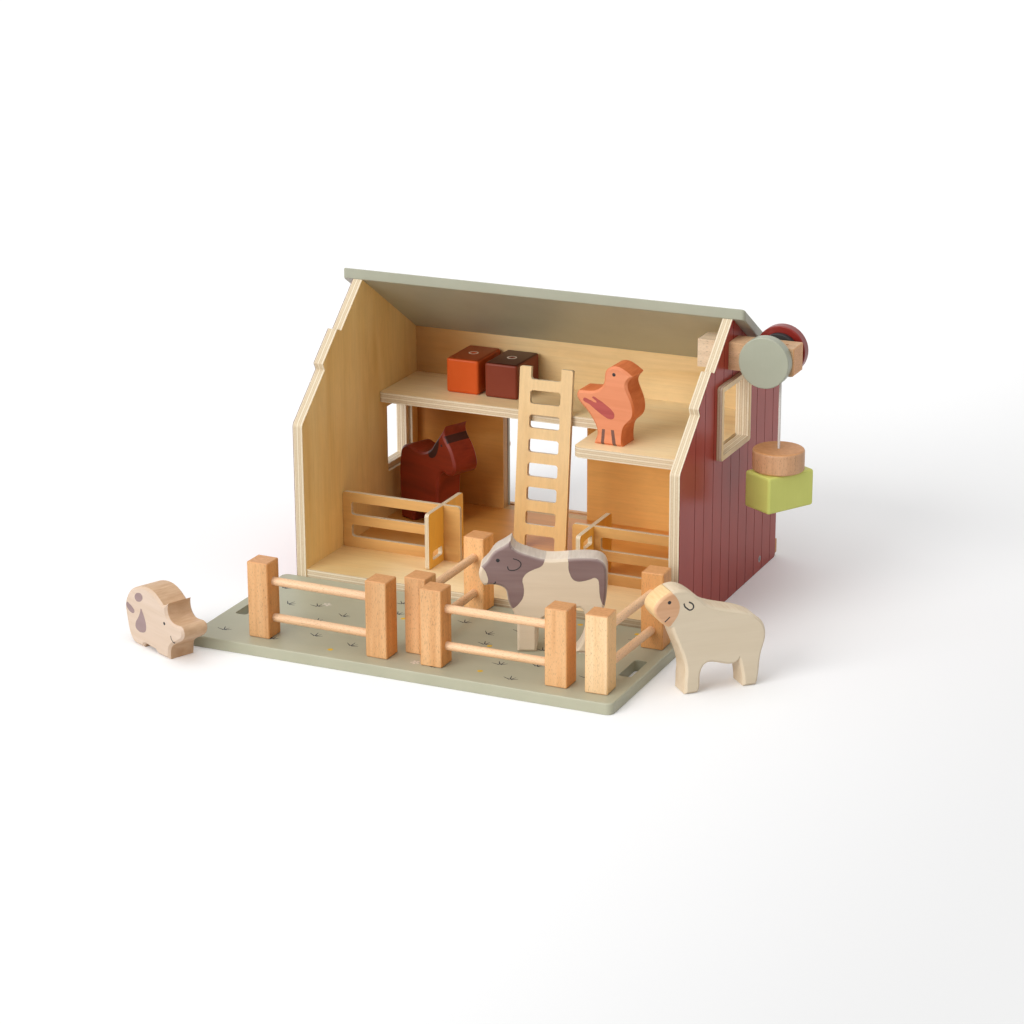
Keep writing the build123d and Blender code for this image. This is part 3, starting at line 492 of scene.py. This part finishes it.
for side in ("left", "right"):
    node = side + "_window_frame"
    ply = plywood(side + "_window_ply", "Z", "X", node, STRAW, seed=5.0, glue_tone=DARK_GLUE)
    eased(node, ply, 0.5 * MM, 3)

SAGE = (182, 185, 164)
eased("roof_panel", paint("sage_roof_paint", (166, 167, 148), 0.34, letter="X"), 0.6 * MM, 3)
eased("yard_plate", paint("sage_plate_paint", (176, 174, 150), 0.46, letter="X"), 0.5 * MM, 3)
STEEL = hardware("zinc_steel", (168, 168, 166), 0.35, 1.0)
finished("wall_screws", STEEL)

# ------------------------------------------------------------------ sliding doors and their rails
for side in ("left", "right"):
    eased("door_" + side, paint(side + "_door_paint", SAGE, 0.38), 0.5 * MM, 3)
    eased("door_knob_" + side, beech(side + "_knob_beech", "Y", 2.0), 0.4 * MM, 2, 60)
for rail in ("door_rail_bottom", "door_rail_top"):
    eased(rail, beech(rail + "_beech", "X", 1.0), 0.4 * MM, 2)

# ------------------------------------------------------------------ hoist
ASH = (linear(234, 212, 184), linear(226, 202, 172), linear(212, 186, 154))
eased("hoist_beam", beech("beam_beech", "X", 3.0, ASH, tint_ramps=[BEAM_OUTSIDE]), 0.6 * MM, 3)
eased("hoist_axle", beech("axle_beech", "Y", 0.4), 0.5 * MM, 2, 60)
eased("hoist_wheel_green", paint("sage_wheel_paint", (161, 163, 143), 0.36), 0.3 * MM, 2, 60)
eased("hoist_wheel_red", paint("red_wheel_paint", (132, 34, 26), 0.30, specular=0.35), 0.3 * MM, 2, 60)
eased("hoist_spacer", hardware("black_spacer_rubber", (26, 25, 26), 0.6), 0.7 * MM, 3, 60)
BROWN_BEECH = (linear(226, 178, 136), linear(214, 164, 122), linear(200, 148, 106))
eased("magnet_holder", beech("holder_beech", "Z", 5.0, BROWN_BEECH), 0.3 * MM, 2, 60)
STRING = hardware("cotton_string_finish", (238, 236, 230), 0.8, 0.0, 1600, 0.6)
finished("hoist_winding", STRING)
finished("magnet", hardware("nickel_magnet", (200, 200, 200), 0.25, 1.0))

# ------------------------------------------------------------------ bales
BALE_PAINTS = {"orange": (202, 86, 34), "brown": (126, 58, 40), "green": (210, 213, 118)}
# painted shade darkens the orange and brown bales' tops; painted light brightens the green one's
BALE_TOP_SHADING = {"orange": 0.5, "brown": 0.34, "green": 1.13}
DISC_GLINT = (3.6 * MM, 4.6 * MM)  # radii of a pale ring between the disc's painted middle and rim: a painted highlight


def painted_disc(node, tone):
    """A steel disc painted over with the bale, with a painted highlight in a thin pale ring."""
    low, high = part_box(node)
    finish = Finish(node + "_paint", roughness=0.35, specular=0.4)
    reach = finish.node("VectorMath", operation="DISTANCE")
    finish.feed(reach.inputs[0], finish.position)
    reach.inputs[1].default_value = ((low.x + high.x) / 2, (low.y + high.y) / 2, high.z)
    share = finish.maths("DIVIDE", reach.outputs["Value"], 10 * MM)
    inner, outer = (radius / (10 * MM) for radius in DISC_GLINT)
    ring = finish.ramp(share, (inner - 0.04, 0.0), (inner, 1.0), (outer, 1.0), (outer + 0.04, 0.0))
    finish.colour(finish.mix(ring, linear(*tone), linear(236, 222, 206)))
    return finish.material


for shade, tone in BALE_PAINTS.items():
    coat = paint(shade + "_bale_paint", tone, 0.32, specular=0.14, top=BALE_TOP_SHADING[shade])
    eased("bale_" + shade, coat, 0.3 * MM, 2, 50)
    finished(f"bale_{shade}_disc", painted_disc(f"bale_{shade}_disc", tone))

# ------------------------------------------------------------------ ladder and stalls
ladder_ply = plywood("ladder_ply", "Z", "Y", "ladder", WHEAT, seed=6.0, tint_ramps=[LADDER_FOOT_SHADE])
eased("ladder", ladder_ply, 0.4 * MM, 3)
for side, seed in (("left", 7.0), ("right", 9.0)):
    long, cross = f"stall_{side}_long", f"stall_{side}_cross"
    eased(long, plywood(f"{side}_long_ply", "X", "Y", long, TOAST, seed=seed), 0.35 * MM, 2)
    eased(cross, plywood(f"{side}_cross_ply", "Z", "X", cross, AMBER, seed=seed + 1), 0.35 * MM, 2)

# ------------------------------------------------------------------ fences
# painted shade for the posts' sides: deeper on fences a and c, softer on b and d
DEEP_FLANK_SHADE = (1.0, 0.80, 0.52, 1.0)
SOFT_FLANK_SHADE = (1.0, 0.90, 0.72, 1.0)
PALE_BEECH = (linear(250, 214, 168), linear(244, 204, 154), linear(234, 188, 136))
NO_TINT = (1.0, 1.0, 1.0, 1.0)
# the rails' axis, the posts' tones, the painted shade tinting their sides and the tint of the rear post
FENCES = {
    "a": ("X", BEECH, DEEP_FLANK_SHADE, NO_TINT),
    "b": ("Y", BEECH, SOFT_FLANK_SHADE, (1.25, 1.25, 1.2, 1.0)),
    "c": ("X", BEECH, DEEP_FLANK_SHADE, NO_TINT),
    "d": ("Y", PALE_BEECH, SOFT_FLANK_SHADE, (0.80, 0.58, 0.38, 1.0)),
}
for letter, (run, tones, flank_shade, tint) in FENCES.items():
    seed = ord(letter) * 0.37
    posts, rails = f"fence_{letter}_posts", f"fence_{letter}_rails"
    low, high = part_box(posts)
    rear = [("Y", low.y + 0.03, high.y - 0.03, tint)]
    eased(posts, beech(posts + "_beech", "Z", seed, tones, flank_shade, rear), 0.3 * MM, 2)
    eased(rails, beech(rails + "_beech", run, seed + 5, PINK_BEECH), 0.2 * MM, 2, 60)

# ------------------------------------------------------------------ animals
# Each stands on its own point (metres) with its side face turned this many degrees; its marks are drawn on
# that face in millimetres, along it and up from the foot.
FRONT_EDGE = 0.0825
FIGURES = {
    "cow": (Vector((0.1008, FRONT_EDGE - 0.0814, 0.0095)), 20.5, 24.0),
    "pig": (Vector((-0.2050, FRONT_EDGE - 0.1945, 0.0)), -24.5, 26.0),
    "sheep": (Vector((0.2445, FRONT_EDGE - 0.0834, 0.0)), 44.0, 22.5),
    "horse": (Vector((-0.1460, FRONT_EDGE + 0.1577, 0.0160)), -23.0, 29.0),
    "chicken": (Vector((0.0823, FRONT_EDGE + 0.0770, 0.1397)), -2.0, 26.5),
}
FIGURE_ROUND = (1.0 * MM, 3, 30)  # width, segments and least angle of the rounded edges
# (light, dark) tones of the side faces, then of the sawn edges
FIGURE_TONES = {
    "cow": ((220, 202, 176), (214, 195, 168)), "pig": ((216, 194, 175), (207, 183, 160)),
    "sheep": ((222, 206, 180), (217, 200, 173)), "horse": ((137, 46, 27), (112, 37, 22)),
    "chicken": ((226, 145, 105), (217, 134, 93)),
}
# The horse's sawn edges are a little lighter than its faces: partly its own red, partly painted reflection.
EDGE_TONES = {
    "cow": ((236, 222, 204), (226, 208, 186)), "pig": ((216, 182, 146), (196, 156, 120)),
    "sheep": ((232, 214, 188), (218, 196, 164)), "horse": ((146, 52, 32), (114, 37, 22)),
    "chicken": ((222, 126, 72), (202, 102, 52)),
}
GRAIN_DEPTH = {"cow": 0.10, "pig": 0.16, "sheep": 0.08, "horse": 0.14, "chicken": 0.08}
MARK_PROUD = 0.06 * MM  # thickness of a printed area
# in the figures' own millimetres
LINE_PROUD = 0.14  # thickness of drawn lines and dots, which lie over the printed areas
THROUGH = 30.0  # half length of a mark's cutting prism, past the board on both sides
FIGURE_SHEEN = {"cow": 0.5, "pig": 0.5, "sheep": 0.5, "horse": 0.32, "chicken": 0.5}  # roughness


def figure_place(figure):
    """From the figure's side face (along, up, outward; millimetres) to the barn's frame."""
    point, turn, thickness = FIGURES[figure]
    angle = math.radians(turn)
    square = Matrix((
        (math.cos(angle), 0, math.sin(angle), 0),
        (math.sin(angle), 0, -math.cos(angle), 0),
        (0, 1, 0, 0),
        (0, 0, 0, 1),
    ))
    return Matrix.Translation(point) @ square @ Matrix.Scale(MM, 4)


def curve_through(name, points, dimensions, handles):
    """A curve through flat points, and its only spline."""
    data = bpy.data.curves.new(name, "CURVE")
    data.dimensions = dimensions
    spline = data.splines.new("BEZIER")
    spline.bezier_points.add(len(points) - 1)
    for knot, (along, up) in zip(spline.bezier_points, points):
        knot.co = (along, up, 0)
        knot.handle_left_type = knot.handle_right_type = handles
    return data, spline


def mesh_of(data):
    """The mesh of a curve."""
    holder = bpy.data.objects.new(data.name, data)
    mesh = bpy.data.meshes.new_from_object(holder)
    bpy.data.objects.remove(holder)
    return mesh


def outline_mesh(name, points, half_depth, handles):
    """A flat closed shape with an outline through the points, thickened to both sides."""
    data, spline = curve_through(name, points, "2D", handles)
    data.fill_mode = "BOTH"
    data.extrude = half_depth
    data.resolution_u = 10
    spline.use_cyclic_u = True
    mesh = mesh_of(data)
    form = bmesh.new()
    form.from_mesh(mesh)
    bmesh.ops.remove_doubles(form, verts=form.verts, dist=1e-4)
    bmesh.ops.recalc_face_normals(form, faces=form.faces)
    form.to_mesh(mesh)
    form.free()
    return mesh


def common_part(first, second, name):
    """The mesh that two closed meshes share."""
    body = bpy.data.objects.new(name + "_body", first)
    tool = bpy.data.objects.new(name + "_tool", second)
    for item in (body, tool):
        bpy.context.scene.collection.objects.link(item)
    cut = body.modifiers.new("cut", "BOOLEAN")
    cut.operation = "INTERSECT"
    cut.solver = "EXACT"
    cut.object = tool
    bpy.context.view_layer.update()
    shared = bpy.data.meshes.new_from_object(body.evaluated_get(bpy.context.evaluated_depsgraph_get()))
    for item in (body, tool):
        bpy.data.objects.remove(item)
    return shared


def printed(figure, name, points, material, handles="AUTO"):
    """A coloured area that goes through the board: it shows on both side faces and round the edges between.

    Its outline is smooth with AUTO handles and straight from point to point with VECTOR handles.
    """
    form = merged_form(figure)
    round_edges(form, *FIGURE_ROUND)
    for corner in form.verts:
        corner.co += corner.normal * MARK_PROUD
    swollen = bpy.data.meshes.new(name)
    form.to_mesh(swollen)
    form.free()
    prism = outline_mesh(name + "_outline", points, THROUGH, handles)
    prism.transform(figure_place(figure))
    mesh = common_part(swollen, prism, name)
    mesh.materials.clear()
    mesh.materials.append(material)
    return ride_with(bpy.data.objects.new(name, shaded(mesh)), figure)


def pen_line(figure, name, points, width, material):
    """A drawn line on both side faces: a round-ended stroke pressed almost flat."""
    for side, offset in (("near", 0.0), ("far", -FIGURES[figure][2])):
        data, _ = curve_through(name + side, points, "3D", "AUTO")
        data.bevel_depth = width / 2
        data.bevel_resolution = 3
        data.use_fill_caps = True
        data.resolution_u = 8
        mesh = mesh_of(data)
        flat = Matrix.Diagonal((1, 1, 2 * LINE_PROUD / width, 1))
        mesh.transform(figure_place(figure) @ Matrix.Translation((0, 0, offset)) @ flat)
        mesh.materials.clear()
        mesh.materials.append(material)
        ride_with(bpy.data.objects.new(f"{name}_{side}", shaded(mesh)), figure)


def dot(figure, name, centre, radius, material):
    """A printed round dot on both side faces."""
    for side, offset in (("near", 0.0), ("far", -FIGURES[figure][2])):
        form = bmesh.new()
        bmesh.ops.create_uvsphere(form, u_segments=20, v_segments=10, radius=radius)
        bmesh.ops.scale(form, verts=form.verts, vec=(1, 1, LINE_PROUD / radius))
        bmesh.ops.translate(form, verts=form.verts, vec=(*centre, offset))
        bmesh.ops.transform(form, verts=form.verts, matrix=figure_place(figure))
        piece_from(form, f"{name}_{side}", material, figure)


for index, (figure, tones) in enumerate(FIGURE_TONES.items()):
    turn = math.radians(FIGURES[figure][1])
    board = sawn_board(
        figure + "_board", tones, EDGE_TONES[figure], turn,
        contrast=GRAIN_DEPTH[figure], seed=index * 1.3, roughness=FIGURE_SHEEN[figure],
    )
    eased(figure, board, *FIGURE_ROUND)

INK = hardware("printing_ink", (32, 28, 30), 0.5, 0.0, 1200, 0.05)


def mark_ink(name, figure, face, edge):
    """Stain or ink that lets a little of the board's grain through."""
    turn = math.radians(FIGURES[figure][1])
    return sawn_board(name, face, edge, turn, contrast=0.15, seed=4.0, roughness=0.46)


# cow: dark head and neck, a saddle and tail
COW_FACE = ((137, 114, 110), (125, 100, 96))
COW_RIM = ((214, 202, 189), (196, 183, 169))
COW_DARK = mark_ink("cow_patch_ink", "cow", COW_FACE, COW_RIM)
printed("cow", "cow_head_patch", [
    (-6.5, 77), (-8.5, 74.4), (-14.2, 71.7), (-19.1, 69), (-22.4, 65.5), (-23.6, 62), (-22.8, 57.7),
    (-22.4, 52.6), (-23.2, 47.4), (-25.7, 43), (-30.6, 38.1), (-40, 34), (-46, 48), (-52.6, 54),
    (-52.5, 57.6), (-51.7, 61.5), (-52.5, 65.8), (-54.5, 70.5), (-60, 76), (-58, 92), (-38, 104),
    (-20, 96), (-6, 88),
], COW_DARK)
printed("cow", "cow_saddle", [
    (13.7, 84), (13.7, 77.4), (13.8, 72.3), (15, 68), (17.4, 63.8), (20.7, 62.1), (24.7, 62.2),
    (31.2, 64), (35.2, 65.4), (37.7, 63.7), (38.5, 59.9), (39, 52.1), (40.2, 46.1), (42.7, 41.4),
    (52, 38), (54, 60), (52, 84), (34, 88),
], COW_DARK)
dot("cow", "cow_eye", (-43.6, 78.9), 1.8, INK)
pen_line("cow", "cow_mouth", [(-47.2, 58.5), (-46.0, 59.2), (-45.6, 60.7)], 1.1, INK)
pen_line("cow", "cow_ear", [
    (-35.7, 73.9), (-34.9, 71.3), (-32.1, 70.5), (-26.4, 72.8), (-24.8, 76.2), (-26.4, 78.8),
    (-31.2, 80.7),
], 1.05, INK)

# pig: three spots, an eye and a smile
PIG_MAUVE = ((159, 135, 133), (145, 121, 119))
PIG_SPOT = mark_ink("pig_spot_ink", "pig", PIG_MAUVE, PIG_MAUVE)
EIGHTH = math.pi / 4
printed("pig", "pig_round_spot", [
    (-25 + 5.9 * math.cos(step * EIGHTH), 43.4 + 4.2 * math.sin(step * EIGHTH + 0.35)) for step in range(8)
], PIG_SPOT)
printed("pig", "pig_rear_spot", [
    (-44.1, 31.9), (-42.8, 34.6), (-39.5, 33.9), (-35.2, 32.1), (-32.2, 29.1), (-33.6, 27.1),
    (-38.2, 26.9), (-42.2, 28.9),
], PIG_SPOT)
printed("pig", "pig_drop_spot", [
    (-22.2, 34.1), (-23.6, 30.9), (-27, 25.1), (-31, 19.5), (-31.4, 15.3), (-27.6, 13), (-22.2, 13),
    (-17.2, 15.3), (-15.8, 19.9), (-17, 25.7), (-20.4, 31.9),
], PIG_SPOT)
dot("pig", "pig_eye", (11.3, 30.4), 1.45, INK)
pen_line("pig", "pig_smile", [(20, 22.1), (20.4, 20.3), (21.5, 18.6), (23.4, 17.5), (25.7, 17.3)], 0.95, INK)

# sheep: bare face, eye, mouth and ear
SHEEP_TAN = ((222, 176, 138), (208, 158, 118))
SHEEP_BROW = ((244, 212, 160), (230, 190, 134))
SHEEP_FACE = mark_ink("sheep_face_stain", "sheep", SHEEP_TAN, SHEEP_BROW)
printed("sheep", "sheep_face_patch", [
    (-60, 62), (-58, 80), (-50, 92), (-41, 93), (-38.3, 88), (-34.8, 83.8), (-32.2, 78),
    (-32.1, 73), (-33.7, 68.1), (-37.9, 62.4), (-42.5, 57.5), (-50, 56),
], SHEEP_FACE)
dot("sheep", "sheep_eye", (-40.7, 80.2), 1.7, INK)
pen_line("sheep", "sheep_mouth", [(-44.6, 64.4), (-42.2, 66.3), (-40.1, 68.1)], 1.1, INK)
pen_line("sheep", "sheep_ear", [
    (-28.3, 77.9), (-27.6, 75.4), (-25.7, 73.4), (-22.7, 71.7), (-20.2, 73.5), (-20.9, 76.4),
    (-24.1, 78.6),
], 1.2, INK)

# horse: mane and forelock
MANE_FACE = ((56, 27, 24), (46, 22, 20))
MANE_RIM = ((66, 28, 22), (52, 22, 18))
HORSE_DARK = mark_ink("horse_mane_ink", "horse", MANE_FACE, MANE_RIM)
printed("horse", "horse_mane", [
    (24.8, 71.2), (28.2, 67.2), (33.7, 68.5), (38, 73.8), (40.2, 79.9), (41, 86.8), (43.6, 94),
    (46, 104), (38, 102), (28, 86), (21, 76),
], HORSE_DARK)
printed("horse", "horse_forelock", [(51.0, 84.8), (46.7, 90.8), (53, 96), (58, 90.2)], HORSE_DARK, "VECTOR")
dot("horse", "horse_eye", (44.2, 82.0), 1.2, INK)

# chicken: wing, leg stripes and eye
WING_RED = ((186, 88, 80), (166, 72, 68))
LEG_BROWN = ((126, 90, 78), (108, 76, 66))
WING = mark_ink("wing_ink", "chicken", WING_RED, WING_RED)
CLAW = mark_ink("leg_ink", "chicken", LEG_BROWN, LEG_BROWN)
printed("chicken", "chicken_wing", [
    (-21.7, 38.8), (-15.2, 34), (-8.7, 29.4), (-1.3, 25), (2.4, 23.6), (6.1, 24.2), (7.4, 27.8),
    (5.1, 31.5), (-0.5, 35.7), (-6.9, 39.4), (-13.4, 41), (-11.8, 39.6), (-9.4, 37.0),
    (-11.2, 36.8), (-15.2, 38.3),
], WING)
printed("chicken", "chicken_left_leg", [(-4, 14), (-1.2, 14), (-2.5, -2), (-5.3, -2)], CLAW, "VECTOR")
printed("chicken", "chicken_right_leg", [(4.3, 14.2), (7.1, 14.2), (9.5, -2), (6.2, -2)], CLAW, "VECTOR")
dot("chicken", "chicken_eye", (6.7, 63.2), 1.6, INK)

# ------------------------------------------------------------------ print on the yard plate
plate_low, plate_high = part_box("yard_plate")
PLATE_TOP = plate_high.z
GRASS_INK = hardware("grass_ink", (58, 58, 64), 0.6, 0.0, 1200, 0.05)
BUD_INK = hardware("bud_ink", (240, 194, 48), 0.6, 0.0, 1200, 0.05)
PETAL_INK = hardware("petal_ink", (226, 216, 200), 0.6, 0.0, 1200, 0.05)


def plate_print(name, kind, places, material):
    """One printed motif at many places of the plate: (x, y, turn) in metres and radians."""
    form = bmesh.new()
    for x, y, turn in places:
        before = set(form.verts)
        kind(form)
        fresh = [corner for corner in form.verts if corner not in before]
        bmesh.ops.rotate(form, verts=fresh, cent=(0, 0, 0), matrix=Matrix.Rotation(turn, 3, "Z"))
        bmesh.ops.translate(form, verts=fresh, vec=(x, y, PLATE_TOP))
    piece_from(form, name, material, "yard_plate")


def blade(form, angle, start, length, width=1.3 * MM, thick=0.05 * MM):
    """A flat tapering stroke that starts away from the motif's centre."""
    made = bmesh.ops.create_cone(
        form, segments=8, cap_ends=True, radius1=width / 2, radius2=width / 5, depth=length
    )
    turn = Matrix.Rotation(angle, 4, "Z") @ Matrix.Translation((start + length / 2, 0, 0))
    lay = Matrix.Diagonal((1, 1, thick / width, 1)) @ Matrix.Rotation(math.pi / 2, 4, "Y")
    bmesh.ops.transform(form, verts=made["verts"], matrix=turn @ lay)


def tuft(form):
    for angle, length in ((25, 5.8), (62, 5.8), (100, 7.4), (148, 7.4)):
        blade(form, math.radians(angle), 0.8 * MM, length * MM)


def bud(form):
    made = bmesh.ops.create_uvsphere(form, u_segments=12, v_segments=6, radius=2.4 * MM)
    bmesh.ops.scale(form, verts=made["verts"], vec=(1, 1, 0.03))


def petals(form):
    for step in range(5):
        made = bmesh.ops.create_uvsphere(form, u_segments=10, v_segments=6, radius=1.0 * MM)
        bmesh.ops.scale(form, verts=made["verts"], vec=(1.9, 1.1, 0.05))
        spot = Matrix.Rotation(step * math.tau / 5, 4, "Z") @ Matrix.Translation((2.4 * MM, 0, 0))
        bmesh.ops.transform(form, verts=made["verts"], matrix=spot)


def scattered(count, seed, gap, clear):
    """Places (x, y, turn) spread over the plate, kept apart from each other and from the clear ones."""
    chance = random.Random(seed)
    found = []
    for _ in range(4000):
        x = chance.uniform(plate_low.x + 0.014, plate_high.x - 0.014)
        y = chance.uniform(plate_low.y + 0.012, plate_high.y - 0.012)
        if all(math.hypot(x - a, y - b) > gap for a, b, _turn in found + clear):
            found.append((x, y, chance.uniform(-0.5, 0.5)))
        if len(found) == count:
            break
    return found


handle_slots = [(x, y, 0) for x in (-0.177, 0.1752) for y in (-0.005, 0.008, -0.018)]
tuft_places = scattered(46, 3, 0.023, handle_slots)
bud_places = scattered(15, 8, 0.034, tuft_places[::3] + handle_slots)
petal_places = scattered(9, 21, 0.052, bud_places + handle_slots)
plate_print("plate_tufts", tuft, tuft_places, GRASS_INK)
plate_print("plate_buds", bud, bud_places, BUD_INK)
plate_print("plate_petals", petals, petal_places, PETAL_INK)

# ------------------------------------------------------------------ hoist string
string_low, string_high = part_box("hoist_string")
string_top = Vector(((string_low.x + string_high.x) / 2, (string_low.y + string_high.y) / 2, string_high.z))
string_foot = Vector((string_top.x, string_top.y, string_low.z))
STRING_STEPS = 24
form = bmesh.new()
bmesh.ops.create_circle(form, cap_ends=False, segments=14, radius=(string_high.x - string_low.x) / 2)
bmesh.ops.translate(form, verts=form.verts, vec=string_foot)
loop = form.edges[:]
for step in range(STRING_STEPS):
    grown = bmesh.ops.extrude_edge_only(form, edges=loop)["geom"]
    bmesh.ops.translate(
        form, verts=[item for item in grown if isinstance(item, bmesh.types.BMVert)],
        vec=(0, 0, (string_top.z - string_foot.z) / STRING_STEPS),
    )
    loop = [item for item in grown if isinstance(item, bmesh.types.BMEdge)]
bmesh.ops.holes_fill(form, edges=form.edges, sides=0)
bmesh.ops.recalc_face_normals(form, faces=form.faces)
string_mesh = bpy.data.meshes.new("hanging_string")
form.to_mesh(string_mesh)
form.free()
string_mesh.materials.append(STRING)
string = bpy.data.objects.new("hanging_string", shaded(string_mesh))
bpy.context.scene.collection.objects.link(string)
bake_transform(string)
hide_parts("hoist_string")


# ------------------------------------------------------------------ table, lights, camera
FLOOR_LIFT = 0.06  # share of plain white that the camera sees under the shadows
SKY_LIGHT = 0.47  # the white world as a light; the camera sees it at 1


def table_top():
    form = bmesh.new()
    bmesh.ops.create_grid(form, x_segments=1, y_segments=1, size=12)
    bmesh.ops.translate(form, verts=form.verts, vec=(0, 0, -0.2 * MM))
    mesh = bpy.data.meshes.new("table_top")
    form.to_mesh(mesh)
    form.free()
    floor = bpy.data.objects.new("table_top", mesh)
    bpy.context.scene.collection.objects.link(floor)
    finish = Finish("white_table", roughness=0.9, specular=0.0)
    rays = finish.node("LightPath")
    seen = finish.maths("MAXIMUM", rays.outputs["Is Camera Ray"], rays.outputs["Is Glossy Ray"])
    seen = finish.maths("MAXIMUM", seen, rays.outputs["Is Transmission Ray"])
    # the table darkens from 0.96 to 0.80 of white towards the right: painted shade
    backdrop_shade = finish.mix(finish.between("X", 0.10, 0.60), grey(0.96), grey(0.80))
    finish.colour(finish.mix(seen, grey(0.72), backdrop_shade))
    finish.feed(finish.shader.inputs["Emission Color"], grey(1.0))
    finish.feed(finish.shader.inputs["Emission Strength"], finish.maths("MULTIPLY", seen, FLOOR_LIFT))
    mesh.materials.append(finish.material)


def sun(name, towards, strength, angle):
    light = bpy.data.lights.new(name, "SUN")
    light.energy = strength
    light.angle = math.radians(angle)
    lamp = bpy.data.objects.new(name, light)
    lamp.rotation_mode = "QUATERNION"
    lamp.rotation_quaternion = Vector(towards).to_track_quat("-Z", "Y")
    bpy.context.scene.collection.objects.link(lamp)


def studio():
    sun("key", (0.35, 0.82, -0.40), 2.05, 40)
    sun("overhead", (0.15, 0.10, -1.0), 0.95, 70)
    world = bpy.data.worlds.new("white_studio")
    bpy.context.scene.world = world
    world.use_nodes = True
    tree = world.node_tree
    background = tree.nodes["Background"]
    rays = tree.nodes.new("ShaderNodeLightPath")
    seen = rays.outputs["Is Camera Ray"]
    for ray in ("Is Glossy Ray", "Is Transmission Ray"):
        either = tree.nodes.new("ShaderNodeMath")
        either.operation = "MAXIMUM"
        tree.links.new(seen, either.inputs[0])
        tree.links.new(rays.outputs[ray], either.inputs[1])
        seen = either.outputs[0]
    level = tree.nodes.new("ShaderNodeMapRange")
    level.inputs["To Min"].default_value = SKY_LIGHT
    level.inputs["To Max"].default_value = 1.0
    tree.links.new(seen, level.inputs["Value"])
    tree.links.new(level.outputs[0], background.inputs["Strength"])
    background.inputs["Color"].default_value = (1, 1, 1, 1)
    bpy.context.scene.view_settings.view_transform = "Standard"


CAMERA_PLACE = (0.970614, -1.979997, 0.855111)
CAMERA_YAW = 0.42841
CAMERA_PITCH = -0.32309
CAMERA_ROLL = -0.00478
CAMERA_LENS = 99.709  # on a 36 mm sensor


def camera():
    data = bpy.data.cameras.new("camera")
    data.sensor_width = 36
    data.lens = CAMERA_LENS
    data.clip_end = 50
    made = bpy.data.objects.new("camera", data)
    turn = (
        Matrix.Rotation(CAMERA_YAW, 4, "Z")
        @ Matrix.Rotation(math.pi / 2 + CAMERA_PITCH, 4, "X")
        @ Matrix.Rotation(CAMERA_ROLL, 4, "Z")
    )
    made.matrix_world = Matrix.Translation(CAMERA_PLACE) @ turn
    bpy.context.scene.collection.objects.link(made)
    bpy.context.scene.camera = made


table_top()
studio()
camera()
